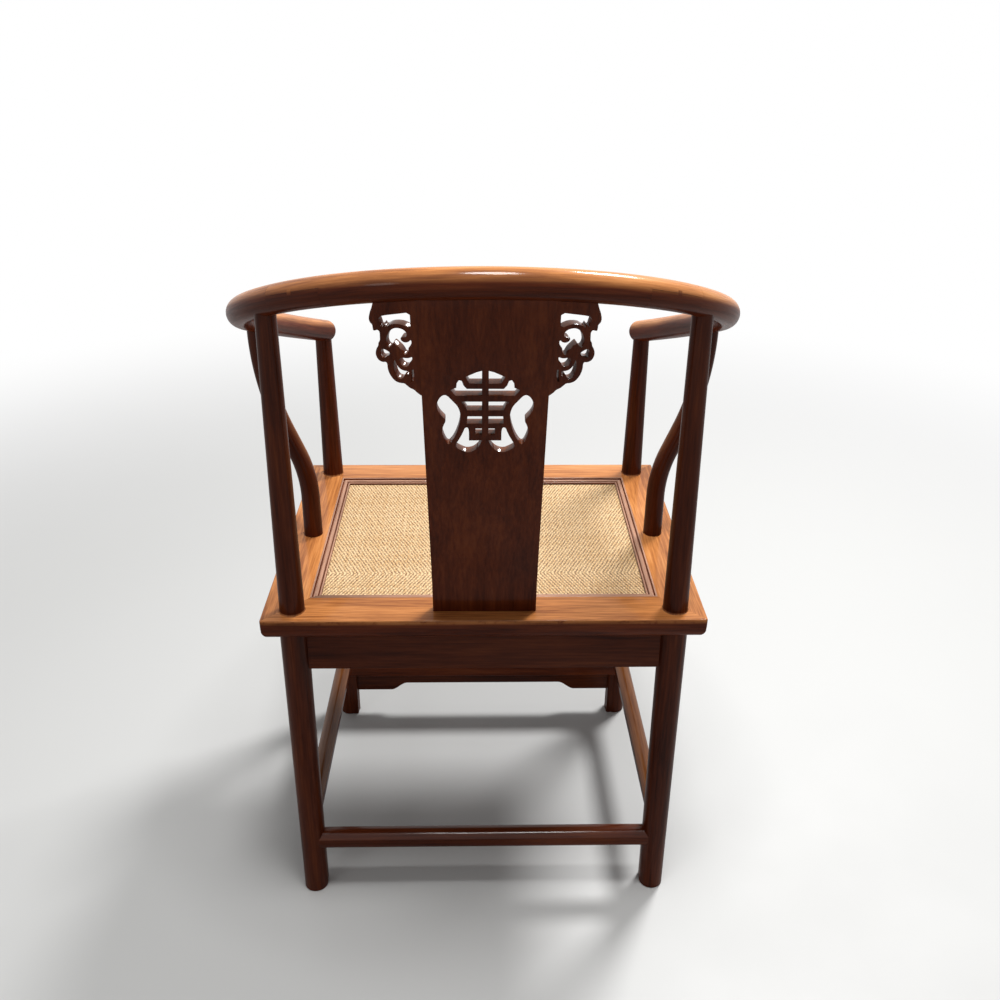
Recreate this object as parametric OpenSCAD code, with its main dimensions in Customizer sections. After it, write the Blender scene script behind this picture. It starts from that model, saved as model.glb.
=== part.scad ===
// Round-back armchair: a horseshoe crest rail in five pieces on round posts, a curved splat
// with a pierced roundel and two pierced wings, a mitred seat frame with a woven mat,
// aprons, stretchers and a footrest. Millimetres. The front faces -Y and +X is the
// sitter's left. Inside the modules y = 0 is the seat frame's rear edge, and the floor is
// z = 0. Every node is moved along Y so that the whole chair is centred on the origin.

/* [Seat] */
// Width of the seat frame, outer edge to outer edge
seat_w = 590; // [560:5:640]
// Depth of the seat frame, front edge to rear edge
seat_d = 490; // [460:5:520]
// Height of the seat frame's top face above the floor
seat_h = 500; // [470:5:520]
// Thickness of the seat frame
frame_t = 30; // [27:1:34]
// Width of the side and rear members of the seat frame
member_w = 58; // [54:1:64]
// Width of the front member of the seat frame
front_member_w = 52; // [48:1:60]
// Width of the moulded strips that press the mat down
strip_w = 14; // [11:1:18]
// Thickness of the moulded strips at their outer edge
strip_t = 7; // [6:0.5:8]
// Thickness of the woven mat
mat_t = 2.5; // [2:0.5:4]
// Thickness of the board under the mat
board_t = 10; // [8:1:12]
// Width of each batten under the board
batten_w = 34; // [26:2:44]
// Depth of each batten, from the board down
batten_t = 20; // [16:1:24]
// Distance of each batten's centre from the middle of the seat
batten_x = 100; // [70:5:130]

/* [Legs and posts] */
// Distance of the rear legs' centres in from the seat's side edges, at the floor
rear_foot_side = 35.5; // [31:0.5:41]
// Distance of the rear legs' centres in from the seat's rear edge
rear_foot_in = 29; // [27:1:33]
// Distance of the front legs' centres in from the seat's side edges, at the floor
front_foot_side = 41; // [35:1:45]
// Distance of the front legs' centres in from the seat's front edge
front_foot_in = 35; // [30:1:38]
// Diameter of a leg at the floor
foot_d = 35; // [32:1:38]
// Diameter of a leg just under the seat frame
leg_d = 38; // [36:1:41]
// Reach of the square inner corner of a leg from its centre
leg_square = 16.5; // [14:0.5:18]
// Diameter of a post where it leaves the seat frame
post_d = 34; // [31:1:36]
// Diameter of a post just under the crest rail
post_top_d = 25; // [22:1:28]

/* [Crest rail] */
// Diameter of the crest rail
rail_d = 34; // [31:1:37]
// Height of the crest rail's centre line at the middle of the back
rail_h = 966; // [950:1:985]
// Distance of that centre line behind the seat's rear edge
rail_behind = 80; // [70:1:90]
// Slope of the crest rail down towards the front
rail_slope = 25; // [24:0.25:26]
// Radius of the back stretch of the crest rail, as a share of the seat's width
back_share = 0.556; // [0.544:0.002:0.568]
// Half the angle that the back stretch turns through
back_turn = 45; // [43:0.5:47]
// Radius of the shoulder stretches, as a share of the seat's width
shoulder_share = 0.461; // [0.449:0.002:0.473]
// Angle that a shoulder stretch turns through
shoulder_turn = 49.5; // [48:0.5:51]
// Twist of the shoulder stretches about the rail's own line
shoulder_roll = -6; // [-8:0.5:-4]
// Radius of the arm stretches
arm_r = 1100; // [1000:20:1200]
// Distance of the arms' ends in from the seat's front edge
arm_end_in = 22; // [14:1:32]
// Twist of the arm stretches about the rail's own line
arm_roll = 4; // [2:0.5:6]
// Radius of the rounding at the arms' ends
arm_end_r = 12; // [8:1:15]
// Length of the half laps that join the pieces of the rail
lap_l = 80; // [60:5:90]
// Width of the square wedge pins that lock the laps
pin_w = 6; // [5:0.5:8]
// Distance of the rear posts' tops along the shoulder stretch from its rear end
rear_post_at = 30; // [24:1:36]
// Distance of the front posts' tops back from the arms' ends
front_post_at = 21; // [18:1:28]

/* [Side posts] */
// Distance of the side posts' feet in from the seat's side edges
side_post_side = 36.8; // [33:0.2:41]
// Distance of the side posts' feet in from the seat's rear edge
side_post_in = 241; // [234:1:248]
// Distance of the side posts' tops along the arm stretch from its rear end
side_post_at = 22.5; // [18:0.5:30]
// Diameter of a side post at the seat
side_post_d = 27.5; // [25:0.5:30]
// Diameter of a side post under the crest rail
side_post_top_d = 24.5; // [20:0.5:25]
// Length of the upright stretch at the side post's foot
side_post_rise = 61.5; // [52:0.5:66]
// Radius of the lower bend of a side post
side_post_low_r = 212; // [190:2:230]
// Radius of the upper bend of a side post
side_post_high_r = 426; // [390:4:460]
// Lean of the side post between its bends
side_post_lean = 20.6; // [19:0.2:22]

/* [Splat] */
// Width of the splat at the seat
splat_w = 136; // [124:1:150]
// Width of the splat at the crest rail
splat_top_w = 143; // [130:1:156]
// Thickness of the splat
splat_t = 10; // [8:0.5:12]
// Distance of the splat's foot in from the seat's rear edge
splat_in = 28; // [24:1:34]
// Radius of the bend at the splat's foot
splat_foot_r = 300; // [240:10:400]
// Radius of the counter bend at the splat's top
splat_top_r = 640; // [520:10:900]
// Angle of the counter bend at the splat's top
splat_top_turn = 8; // [5:0.5:10]
// Distance of the roundel's centre up the splat's face from the seat
roundel_up = 321; // [305:1:330]
// Height of the pierced roundel
roundel_h = 113; // [90:1:118]
// Width of the pierced roundel
roundel_w = 106; // [90:1:112]
// Width of the roundel's upright bar
roundel_bar = 7.4; // [5:0.2:9]
// Thickness of the pierced wings beside the splat
wing_t = 10; // [8:0.5:12]
// Width of a wing from the splat's edge
wing_w = 53.5; // [45:0.5:60]
// Height of a wing down the splat's edge
wing_h = 120; // [104:1:128]
// Turn of the wings forward from the splat's face
wing_turn = 15; // [12:0.5:18]

/* [Aprons and stretchers] */
// Height of the aprons below the seat frame
apron_h = 61; // [50:1:66]
// Thickness of the aprons
apron_t = 14; // [10:1:18]
// Rise of the front apron's lower edge between its end drops
apron_rise = 12; // [8:1:16]
// Length of the drops at the ends of the front aprons, from the leg's inner face
drop_l = 62; // [50:2:80]
// Length of the ogee between a drop and the raised edge
ogee_l = 31; // [20:1:40]
// Height of the footrest's top above the floor
footrest_h = 114; // [110:1:124]
// Thickness of the footrest
footrest_t = 24; // [20:1:28]
// Depth of the footrest, front to rear
footrest_w = 40; // [36:1:46]
// Height of the apron under the footrest
footrest_apron_h = 40; // [34:1:48]
// Rise of the footrest apron's lower edge between its end drops
footrest_apron_rise = 15.5; // [10:0.5:18]
// Height of the rear stretcher's centre above the floor
rear_stretcher_h = 93; // [88:1:102]
// Diameter of the rear stretcher
rear_stretcher_d = 28; // [24:1:30]
// Height of the side stretchers' centres above the floor
side_stretcher_h = 128; // [122:1:140]
// Diameter of the side stretchers
side_stretcher_d = 25; // [20:1:28]
// Height of the soft ridge above the round of a stretcher
ridge_rise = 2.5; // [1:0.5:4]

/* [Fits] */
// Clearance round every tenon, neck and panel edge
fit_gap = 0.1; // [0.05:0.05:0.3]
// Diameter of the tenons on top of the posts
post_tenon_d = 13; // [10:1:15]
// Length of the tenons on top of the posts, above the rail's centre line's underside
post_tenon_l = 18; // [14:1:22]
// Thickness of the flat tenons
tenon_t = 7; // [5:0.5:9]
// Length of the flat tenons
tenon_l = 14; // [10:1:16]

/* [Hidden] */
$fn = 96;
// Reach of every cutting block, past the whole chair
far = 3000;
wood = [0.38, 0.15, 0.08];
dark_wood = [0.30, 0.11, 0.06];
straw = [0.80, 0.64, 0.42];

// Sizes that follow the seat's width, so that the rail and the posts keep to the seat
back_r = seat_w * back_share;
shoulder_r = seat_w * shoulder_share;
rear_foot_x = seat_w / 2 - rear_foot_side;
front_foot_x = seat_w / 2 - front_foot_side;
side_post_x = seat_w / 2 - side_post_side;

// The chair is centred between the seat's front edge and the back of the crest rail
rail_r = rail_d / 2;
origin_y = (seat_d - rail_behind - rail_r) / 2;
hair = 0.2;
under_frame = seat_h - frame_t;
open_x = seat_w / 2 - member_w;
open_rear = -member_w;
open_front = -seat_d + front_member_w;
open_mid = (open_rear + open_front) / 2;
open_d = open_rear - open_front;

// Moulding of the seat frame's edge: a soft arris, an upright fillet, a long round that draws
// in towards the bottom, a small step and a bead
edge_arris = 2;
edge_flat = 5;
edge_round = 28;
edge_step = 1;
bead_r = 2.5;
bead_sink = 1.3;
edge_bottom = frame_t - 2 * bead_r;
edge_in = edge_round - sqrt(edge_round * edge_round - (edge_bottom - edge_flat) * (edge_bottom - edge_flat));
corner_r = 4;

// Levels of the mat and its board, and the tongue that holds the board in the frame
mat_top = seat_h - strip_t;
board_top = mat_top - mat_t;
board_bottom = board_top - board_t;
tongue_t = 5;
tongue_l = 6;
tongue_inset = 14;
batten_tenon_t = 5;
batten_tenon_down = 2;

// Rigid motions as matrices, and the frame that a step along an arc leads to: x runs along
// the rail, y towards the arc's centre and z square to both
function shift(v) = [[1, 0, 0, v[0]], [0, 1, 0, v[1]], [0, 0, 1, v[2]], [0, 0, 0, 1]];
function turn_x(a) = [[1, 0, 0, 0], [0, cos(a), -sin(a), 0], [0, sin(a), cos(a), 0], [0, 0, 0, 1]];
function turn_z(a) = [[cos(a), -sin(a), 0, 0], [sin(a), cos(a), 0, 0], [0, 0, 1, 0], [0, 0, 0, 1]];
function along(frame, radius, angle) =
    frame * shift([radius * sin(angle), radius * (1 - cos(angle)), 0]) * turn_z(angle);
function place(frame) = [frame[0][3], frame[1][3], frame[2][3]];
// The angle that a length spans on an arc
function span(length, radius) = length / radius * 180 / PI;

back_frame = shift([0, rail_behind, rail_h]) * turn_x(180 + rail_slope);
back_end = along(back_frame, back_r, back_turn);
shoulder_frame = back_end * turn_x(shoulder_roll);
shoulder_end = along(shoulder_frame, shoulder_r, shoulder_turn);
arm_frame = shoulder_end * turn_x(arm_roll);

// Length of the arms, found by halving its bounds, that brings their ends over the seat's front
halvings = 40;
arm_limit = 2 * seat_d;
function arm_y(length) = place(along(arm_frame, arm_r, span(length, arm_r)))[1];
function find_arm(low, high, tries) = let (mid = (low + high) / 2) tries == 0 ? mid :
    arm_y(mid) > arm_end_in - seat_d ? find_arm(mid, high, tries - 1) : find_arm(low, mid, tries - 1);
arm_l = find_arm(0, arm_limit, halvings);
back_lap = span(lap_l, back_r);
shoulder_lap = span(lap_l, shoulder_r);

// Ends of the legs' centre lines: on the floor, and on the rail's centre line
rear_foot = [rear_foot_x, -rear_foot_in, 0];
front_foot = [front_foot_x, -seat_d + front_foot_in, 0];
rear_top = place(along(shoulder_frame, shoulder_r, span(rear_post_at, shoulder_r)));
front_top = place(along(arm_frame, arm_r, span(arm_l - front_post_at, arm_r)));
side_top = place(along(arm_frame, arm_r, span(side_post_at, arm_r)));
side_foot = [side_post_x, -side_post_in, seat_h];
leg_r = leg_d / 2;
function at_height(foot, top, z) = foot + (top - foot) * (z - foot[2]) / (top[2] - foot[2]);

// Shape of a side post in its own upright plane
side_run = norm([side_top[0] - side_foot[0], side_top[1] - side_foot[1]]);
side_heading = atan2(side_top[1] - side_foot[1], side_top[0] - side_foot[0]);
side_turn = [1 - cos(side_post_lean), sin(side_post_lean)];
side_straight = (side_run - (side_post_low_r + side_post_high_r) * side_turn[0]) / side_turn[1];
side_mid = [0, side_post_rise] + side_post_low_r * side_turn;
side_high = side_mid + side_straight * [sin(side_post_lean), cos(side_post_lean)];
side_neck = side_high + side_post_high_r * side_turn;
side_height = side_top[2] - side_foot[2];

// Side view of the splat's middle surface: a bend at the foot, a straight lean and a counter
// bend that ends on the rail's centre line. The lean is found by halving its bounds.
splat_run = rail_behind + splat_in;
splat_rise = rail_h - seat_h;
function bend_out(r, low, high) = r * (cos(low) - cos(high));
function bend_up(r, low, high) = r * (sin(high) - sin(low));
function straight_part(lean) = (splat_rise - bend_up(splat_foot_r, 0, lean)
    - bend_up(splat_top_r, lean - splat_top_turn, lean)) / cos(lean);
function splat_reach(lean) = bend_out(splat_foot_r, 0, lean) + straight_part(lean) * sin(lean)
    + bend_out(splat_top_r, lean - splat_top_turn, lean);
function find_lean(low, high, tries) = let (mid = (low + high) / 2) tries == 0 ? mid :
    splat_reach(mid) < splat_run ? find_lean(mid, high, tries - 1) : find_lean(low, mid, tries - 1);
lean_limit = 35;
splat_lean = find_lean(0, lean_limit, halvings);
splat_straight = straight_part(splat_lean);
splat_up = [sin(splat_lean), cos(splat_lean)];
splat_low = [-splat_in + bend_out(splat_foot_r, 0, splat_lean), seat_h + bend_up(splat_foot_r, 0, splat_lean)];
splat_high = splat_low + splat_straight * splat_up;
splat_foot_l = splat_foot_r * splat_lean * PI / 180;
splat_tongue_t = 5;
splat_tongue_in = 10;
splat_tongue_margin = 12;
roundel_at = splat_low + (roundel_up - splat_foot_l) * splat_up;

// A wing lies in a flat plane from the rail's centre line to the splat's face at its foot
rail_mid = [rail_behind, rail_h];
wing_drop = wing_h + rail_r;
wing_foot = splat_high - (wing_drop - norm(rail_mid - splat_high)) * splat_up;
wing_lean = atan2(rail_mid[0] - wing_foot[0], rail_mid[1] - wing_foot[1]);
function splat_half_w(z) = (splat_w + (splat_top_w - splat_w) * (z - seat_h) / splat_rise) / 2;

// Corner cutting turns a ring of points into a soft curve: each pass swaps every corner for
// two points on its edges
function soften(ring) = [for (i = [0 : len(ring) - 1], k = [0.25, 0.75])
    ring[i] * (1 - k) + ring[(i + 1) % len(ring)] * k];
function soft(ring) = soften(soften(ring));
function stretch(ring, k) = [for (p = ring) [p[0] * k[0], p[1] * k[1]]];

// Half outlines of the roundel, as drawn for the drawn width and height: x from the
// roundel's middle line, y up from its centre
roundel_drawn = [106, 111];
bar_edge = 3.7;
roundel_panes = [
    [[bar_edge, 56], [10, 54], [16, 51], [22, 48], [17.5, 39.5], [bar_edge, 39.5]],
    [[bar_edge, 32.5], [20.5, 32.5], [24, 37], [26, 43], [29, 44], [31.5, 40], [32, 34], [38.5, 31], [33, 23.5],
        [bar_edge, 23.5]],
    [[bar_edge, 15.5], [26.5, 15.5], [20, 3.5], [bar_edge, 3.5]],
    [[bar_edge, -4.5], [20, -4.5], [21, -15], [bar_edge, -15]],
    [[bar_edge, -21.5], [11, -21.5], [11, -30], [bar_edge, -30]]];
roundel_lobe = [[18.6, -20], [23.2, -20], [25, -26], [29, -35], [35.5, -47], [28, -52.5], [21, -56], [13, -53.5],
    [7, -47], [bar_edge, -38.4], [bar_edge, -38.4], [18.6, -38.4], [18.6, -38.4]];
roundel_ear = [[43, 24.5], [48, 24], [52.5, 18], [54.5, 10], [53, 2], [48.5, -5], [44, -10], [47.5, -17],
    [49.5, -26], [47, -36], [42.5, -46], [36.5, -37], [32, -26], [29, -14], [27.6, -2], [30.5, 9], [37, 17]];

// Outlines of a wing, as drawn for the drawn width and height: x out from the splat's edge,
// y up from the rail's centre line
wing_drawn = [53.5, 137];
wing_edge = [[0, -8], [45, -10], [46.5, -20], [49, -31], [52, -38.5], [53.8, -46], [52.8, -50.8], [50.2, -52.8],
    [50, -56.5], [49.6, -60.2], [47, -59.6], [44.3, -58.3], [42.3, -61], [42.5, -66], [42.6, -71], [44.6, -74],
    [45, -78], [47.2, -81.5], [48.8, -87], [48.2, -92], [45.5, -96.5], [41, -98], [37.3, -97], [36, -99.5],
    [36, -105], [34.5, -111], [31.5, -116.5], [27.5, -120.5], [22.5, -121.8], [17.5, -121.3], [15, -123.5],
    [11, -126.5], [6.5, -127.8], [3.5, -131], [-1, -134], [-6, -136], [-6, -8]];
wing_panes = [
    [[7.5, -32.5], [23, -36.6], [38, -40.5], [41.5, -42.8], [43, -46.5], [41.8, -50.5], [41, -54.5], [38.6, -53.4],
        [37.2, -50.6], [35.8, -54], [33, -52.4], [30, -50], [25, -48.5], [19, -48], [14, -49], [10, -51],
        [8, -52.5], [7.3, -44]],
    [[12, -60], [12.6, -57], [15, -54.4], [19, -53.1], [24, -53.2], [28, -55], [31.2, -58.5], [33.5, -62.5],
        [35.2, -67], [36, -72], [35, -76.3], [32.6, -78.5], [30.3, -77.3], [29, -74], [27.5, -71.5], [24, -74.6],
        [20, -78], [17.8, -81.3], [16.6, -84.2], [14.3, -84.9], [12, -83], [11, -79.5], [10.8, -75.5], [8.6, -73],
        [7.2, -70], [7, -66.5], [8.2, -65.6], [10, -67.9], [13, -69.4], [16, -69.3], [18.6, -67.6], [19.4, -65.2],
        [18, -63.3], [15.5, -63.4], [13.2, -62.4]],
    [[7, -86], [9.5, -87.6], [13, -88.8], [17.5, -88.8], [20.5, -89.8], [22, -92.5], [21, -96.5], [18, -99.6],
        [14.5, -100.2], [11.6, -98], [10.5, -94.5], [8.8, -91.8], [7.2, -90.5]],
    [[27.3, -93], [28.6, -99], [28.6, -105], [27.5, -111], [25, -115.4], [21.6, -116.6], [18.6, -115.2],
        [17.2, -111.6], [16, -109.2], [14.3, -111.4], [12.2, -111.2], [11.2, -107.6], [11.6, -104.4], [15, -105.2],
        [19, -104.6], [22.5, -102.6], [25, -99], [26.3, -95.5]],
    [[6.3, -101], [8.6, -103.6], [8.8, -110], [9.4, -115], [9.6, -118.6], [7.6, -118.2], [6.2, -113], [5.9, -106.5]],
    [[32, -84.6], [36, -82.2], [40.5, -80.8], [42.6, -84], [43.3, -88.5], [42, -92.6], [39, -92.5], [35.5, -90],
        [33, -87.6]]];

// Tongues of a wing, in the same drawing: one into the splat's edge, one into the rail
wing_tongue_t = 4;
wing_side_tongue = [[-6, -118], [9, 88]];
wing_top_tongue = [[12, -31.5], [22, 21.5]];

// Moves a shape drawn from the seat's rear edge to the chair's own origin
module at_origin() {
    translate([0, origin_y, 0]) children();
}

// Everything from one height to another
module slab(low, high) {
    translate([-far / 2, -far / 2, low]) cube([far, far, high - low]);
}

// Stands a shape on point a with its z axis towards point b
module on_line(a, b) {
    v = b - a;
    heading = atan2(v[1], v[0]);
    lean = acos(v[2] / norm(v));
    translate(a) rotate([0, 0, heading]) rotate([0, lean, 0]) rotate([0, 0, -heading]) children();
}

// Draws a side view, y to the right and z up, and extrudes it along x
module in_side_view() {
    rotate([90, 0, 90]) children();
}

// Runs a level profile from point a towards point b
module between(a, b) {
    translate(a) rotate([0, 0, atan2(b[1] - a[1], b[0] - a[0])]) in_side_view() children();
}

// A stretch of the crest rail, in the frame at its start: the profile turns about the centre
module rail_arc(radius, from, to) {
    translate([0, radius, 0]) rotate([0, 0, from - 90]) rotate_extrude(angle = to - from)
        translate([radius, 0]) children();
}

// Profile of the rail, and of the lower half that a lap's tail keeps, a hair thinner
module rail_round(gap) {
    circle(rail_r + gap);
}
module rail_half() {
    intersection() {
        circle(rail_r - hair / 2);
        translate([-rail_d, 0]) square([2 * rail_d, rail_d]);
    }
}

// The tail that a piece sends back under the piece before it, and the room for the next tail
module lap_tail(radius, turn) {
    mirror([1, 0, 0]) rail_arc(radius, 0, turn) rail_half();
}
module lap_room(radius, turn, lap) {
    past = 1;
    rail_arc(radius, turn - lap, turn + past) translate([-rail_d, 0]) square([2 * rail_d, rail_d]);
}

// The whole of each stretch of the rail, for cutting what meets it
module back_envelope(gap) {
    multmatrix(back_frame) rail_arc(back_r, -back_turn, back_turn) rail_round(gap);
}
module shoulder_envelope(gap) {
    multmatrix(shoulder_frame) rail_arc(shoulder_r, 0, shoulder_turn) rail_round(gap);
}
module arm_envelope(gap) {
    multmatrix(arm_frame) rail_arc(arm_r, 0, span(arm_l, arm_r)) rail_round(gap);
}

// A block across the rail, half way along a lap: the wedge pin, or its hole
module pin_block(frame, radius, angle, gap) {
    multmatrix(along(frame, radius, angle)) cube([pin_w + 2 * gap, 2 * rail_d, pin_w + 2 * gap], center = true);
}
module back_pin(gap) {
    pin_block(back_frame, back_r, back_turn - back_lap / 2, gap);
}
module shoulder_pin(gap) {
    pin_block(shoulder_frame, shoulder_r, shoulder_turn - shoulder_lap / 2, gap);
}

// A round tenon on a post's top, standing along the post's own line
module top_tenon(foot, top, gap) {
    reach = norm(top - foot);
    on_line(foot, top) translate([0, 0, reach - rail_r - post_tenon_l])
        cylinder(h = 2 * post_tenon_l + gap, d = post_tenon_d + 2 * gap);
}
module side_tenon(gap) {
    translate([side_top[0], side_top[1], side_top[2] - rail_r - post_tenon_l])
        cylinder(h = 2 * post_tenon_l + gap, d = post_tenon_d + 2 * gap);
    translate(side_foot - [0, 0, tenon_l + gap])
        cylinder(h = tenon_l + post_tenon_l + gap, d = post_tenon_d + 2 * gap);
}

// A leg under the seat frame: round outside, with a square corner turned inwards
module leg(foot, top, inward, gap) {
    slope = norm(top - foot) / (top[2] - foot[2]);
    over = 3;
    intersection() {
        on_line(foot, top) union() {
            translate([0, 0, -over])
                cylinder(h = under_frame * slope + 2 * over, d1 = foot_d + 2 * gap, d2 = leg_d + 2 * gap);
            translate([-leg_square - gap, inward > 0 ? 0 : -leg_square - gap, -over])
                cube([leg_square + gap, leg_square + gap, under_frame * slope + 2 * over]);
        }
        slab(0, under_frame + gap);
    }
}

// A post from the leg's shoulder to the rail's centre line
module post(foot, top, gap) {
    slope = norm(top - foot) / (top[2] - foot[2]);
    over = 3;
    intersection() {
        on_line(foot, top) translate([0, 0, under_frame * slope - over])
            cylinder(h = norm(top - foot) - under_frame * slope + over, d1 = post_d + 2 * gap,
                d2 = post_top_d + 2 * gap);
        slab(under_frame - gap, far);
    }
}

// Flat tenons run the whole length of what they hold, so that both of their ends stand out
module rear_stretcher_core(gap) {
    leg_at = at_height(rear_foot, rear_top, rear_stretcher_h);
    reach = leg_at[0] - foot_d / 2 + tenon_l + gap;
    translate([-reach, leg_at[1] - tenon_t / 2 - gap, rear_stretcher_h - tenon_t - gap])
        cube([2 * reach, tenon_t + 2 * gap, 2 * tenon_t + 2 * gap]);
}
module side_stretcher_core(gap) {
    a = at_height(rear_foot, rear_top, side_stretcher_h);
    b = at_height(front_foot, front_top, side_stretcher_h);
    inset = foot_d / 2 - tenon_l - gap;
    between(a, b) translate([0, 0, inset]) linear_extrude(norm(b - a) - 2 * inset)
        square([tenon_t + 2 * gap, 2 * tenon_t + 2 * gap], center = true);
}
module cross_core(foot, top, z, thick, gap) {
    leg_at = at_height(foot, top, z);
    reach = leg_at[0] - leg_r + tenon_l + gap;
    translate([-reach, leg_at[1] - tenon_t / 2 - gap, z - thick / 2 - gap])
        cube([2 * reach, tenon_t + 2 * gap, thick + 2 * gap]);
}

// Height and middle line of the aprons' tenons, set in from the legs' outer faces
apron_mid = under_frame - apron_h / 2;
apron_set = 12;
apron_tenon_h = apron_h / 2;
apron_shift = leg_r - apron_set - apron_t / 2;
module rear_apron_core(gap) {
    translate([0, apron_shift, 0]) cross_core(rear_foot, rear_top, apron_mid, apron_tenon_h, gap);
}
module front_apron_core(gap) {
    translate([0, -apron_shift, 0]) cross_core(front_foot, front_top, apron_mid, apron_tenon_h, gap);
}
module side_apron_core(gap) {
    a = at_height(rear_foot, rear_top, apron_mid);
    b = at_height(front_foot, front_top, apron_mid);
    inset = leg_r - tenon_l - gap;
    translate([apron_shift, 0, 0]) between(a, b) translate([0, 0, inset])
        linear_extrude(norm(b - a) - 2 * inset)
        square([tenon_t + 2 * gap, apron_tenon_h + 2 * gap], center = true);
}
footrest_mid = footrest_h - footrest_t / 2;
footrest_tenon_h = footrest_t / 2;
module footrest_core(gap) {
    cross_core(front_foot, front_top, footrest_mid, footrest_tenon_h, gap);
}
footrest_apron_mid = footrest_h - footrest_t - footrest_apron_h / 2;
module footrest_apron_core(gap) {
    cross_core(front_foot, front_top, footrest_apron_mid, footrest_apron_h / 2, gap);
}

// One rear leg and post from a single timber, with its mortises
module rear_leg_post() {
    difference() {
        union() {
            leg(rear_foot, rear_top, -1, 0);
            difference() {
                post(rear_foot, rear_top, 0);
                shoulder_envelope(fit_gap);
            }
            top_tenon(rear_foot, rear_top, 0);
        }
        rear_stretcher_core(fit_gap);
        side_stretcher_core(fit_gap);
        rear_apron_core(fit_gap);
        side_apron_core(fit_gap);
    }
}

// One front leg and post from a single timber, with its mortises
module front_leg_post() {
    difference() {
        union() {
            leg(front_foot, front_top, 1, 0);
            difference() {
                post(front_foot, front_top, 0);
                arm_envelope(fit_gap);
            }
            top_tenon(front_foot, front_top, 0);
        }
        side_stretcher_core(fit_gap);
        front_apron_core(fit_gap);
        side_apron_core(fit_gap);
        footrest_core(fit_gap);
        footrest_apron_core(fit_gap);
    }
}
module rear_left_leg_post() {
    color(wood) at_origin() rear_leg_post();
}
module rear_right_leg_post() {
    color(wood) at_origin() mirror([1, 0, 0]) rear_leg_post();
}
module front_left_leg_post() {
    color(wood) at_origin() front_leg_post();
}
module front_right_leg_post() {
    color(wood) at_origin() mirror([1, 0, 0]) front_leg_post();
}

// Middle piece of the rail: its ends keep the upper half of each lap
module crest_rail_back() {
    color(wood) at_origin() difference() {
        multmatrix(back_frame) difference() {
            rail_arc(back_r, -back_turn, back_turn) rail_round(0);
            for (side = [0, 1]) mirror([side, 0, 0]) lap_room(back_r, back_turn, back_lap);
        }
        back_pin(fit_gap);
        mirror([1, 0, 0]) back_pin(fit_gap);
        splat_tongue(fit_gap);
        for (side = [0, 1]) mirror([side, 0, 0]) wing_tongue(wing_top_tongue, fit_gap);
    }
}

// Shoulder piece: the lower half of the rear lap, a full round, the upper half of the front lap
module shoulder_rail() {
    difference() {
        multmatrix(back_end) {
            lap_tail(back_r, back_lap);
            multmatrix(turn_x(shoulder_roll)) difference() {
                rail_arc(shoulder_r, 0, shoulder_turn) rail_round(0);
                lap_room(shoulder_r, shoulder_turn, shoulder_lap);
            }
        }
        back_pin(fit_gap);
        shoulder_pin(fit_gap);
        top_tenon(rear_foot, rear_top, fit_gap);
    }
}
module crest_rail_left_shoulder() {
    color(wood) at_origin() shoulder_rail();
}
module crest_rail_right_shoulder() {
    color(wood) at_origin() mirror([1, 0, 0]) shoulder_rail();
}

// Rounded end of an arm, standing along x, a hair thinner than the rail that it closes
module arm_end() {
    r = rail_r - hair / 2;
    rotate([0, 90, 0]) rotate_extrude() intersection() {
        translate([0, -hair]) square([rail_r, arm_end_r + hair]);
        union() {
            translate([0, -hair]) square([r, hair]);
            square([r - arm_end_r, arm_end_r]);
            translate([r - arm_end_r, 0]) circle(arm_end_r);
        }
    }
}

// Arm piece: the lower half of the lap, then a full round with a rounded end
module arm_rail() {
    round_l = arm_l - arm_end_r;
    difference() {
        multmatrix(shoulder_end) {
            lap_tail(shoulder_r, shoulder_lap);
            multmatrix(turn_x(arm_roll)) {
                rail_arc(arm_r, 0, span(round_l, arm_r)) rail_round(0);
                translate([0, arm_r, 0]) rotate([0, 0, span(round_l, arm_r)]) translate([0, -arm_r, 0]) arm_end();
            }
        }
        shoulder_pin(fit_gap);
        top_tenon(front_foot, front_top, fit_gap);
        side_tenon(fit_gap);
    }
}
module crest_rail_left_arm() {
    color(wood) at_origin() arm_rail();
}
module crest_rail_right_arm() {
    color(wood) at_origin() mirror([1, 0, 0]) arm_rail();
}

// Four square pins that lock the laps, cut flush with the rail
module rail_wedge_pins() {
    color(dark_wood) at_origin() for (side = [0, 1]) mirror([side, 0, 0]) {
        intersection() {
            back_pin(0);
            back_envelope(0);
        }
        intersection() {
            shoulder_pin(0);
            shoulder_envelope(0);
        }
    }
}

// Side post: upright, bent outwards, straight and tapered, bent upright again. Each stretch
// that starts in a turned frame is a hair thinner and starts inside the one before it.
module side_bend_arc(radius, d) {
    translate([radius, 0, 0]) rotate([90, 0, 180]) rotate_extrude(angle = side_post_lean)
        translate([radius, 0]) circle(d = d);
}
module side_post() {
    difference() {
        translate(side_foot) rotate([0, 0, side_heading]) {
            cylinder(h = side_post_rise, d = side_post_d);
            translate([0, 0, side_post_rise]) side_bend_arc(side_post_low_r, side_post_d);
            translate([side_high[0], 0, side_high[1]]) rotate([0, side_post_lean, 0]) {
                translate([0, 0, -side_straight - hair]) cylinder(h = side_straight + hair,
                    d1 = side_post_d - hair, d2 = side_post_top_d);
                rotate([0, 0, 180]) side_bend_arc(side_post_high_r, side_post_top_d);
            }
            translate([side_neck[0], 0, side_neck[1] - hair])
                cylinder(h = side_height - side_neck[1] + rail_r, d = side_post_top_d - hair);
        }
        arm_envelope(fit_gap);
        slab(side_top[2], far);
    }
    side_tenon(0);
}
module left_side_post() {
    color(wood) at_origin() side_post();
}
module right_side_post() {
    color(wood) at_origin() mirror([1, 0, 0]) side_post();
}

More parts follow.
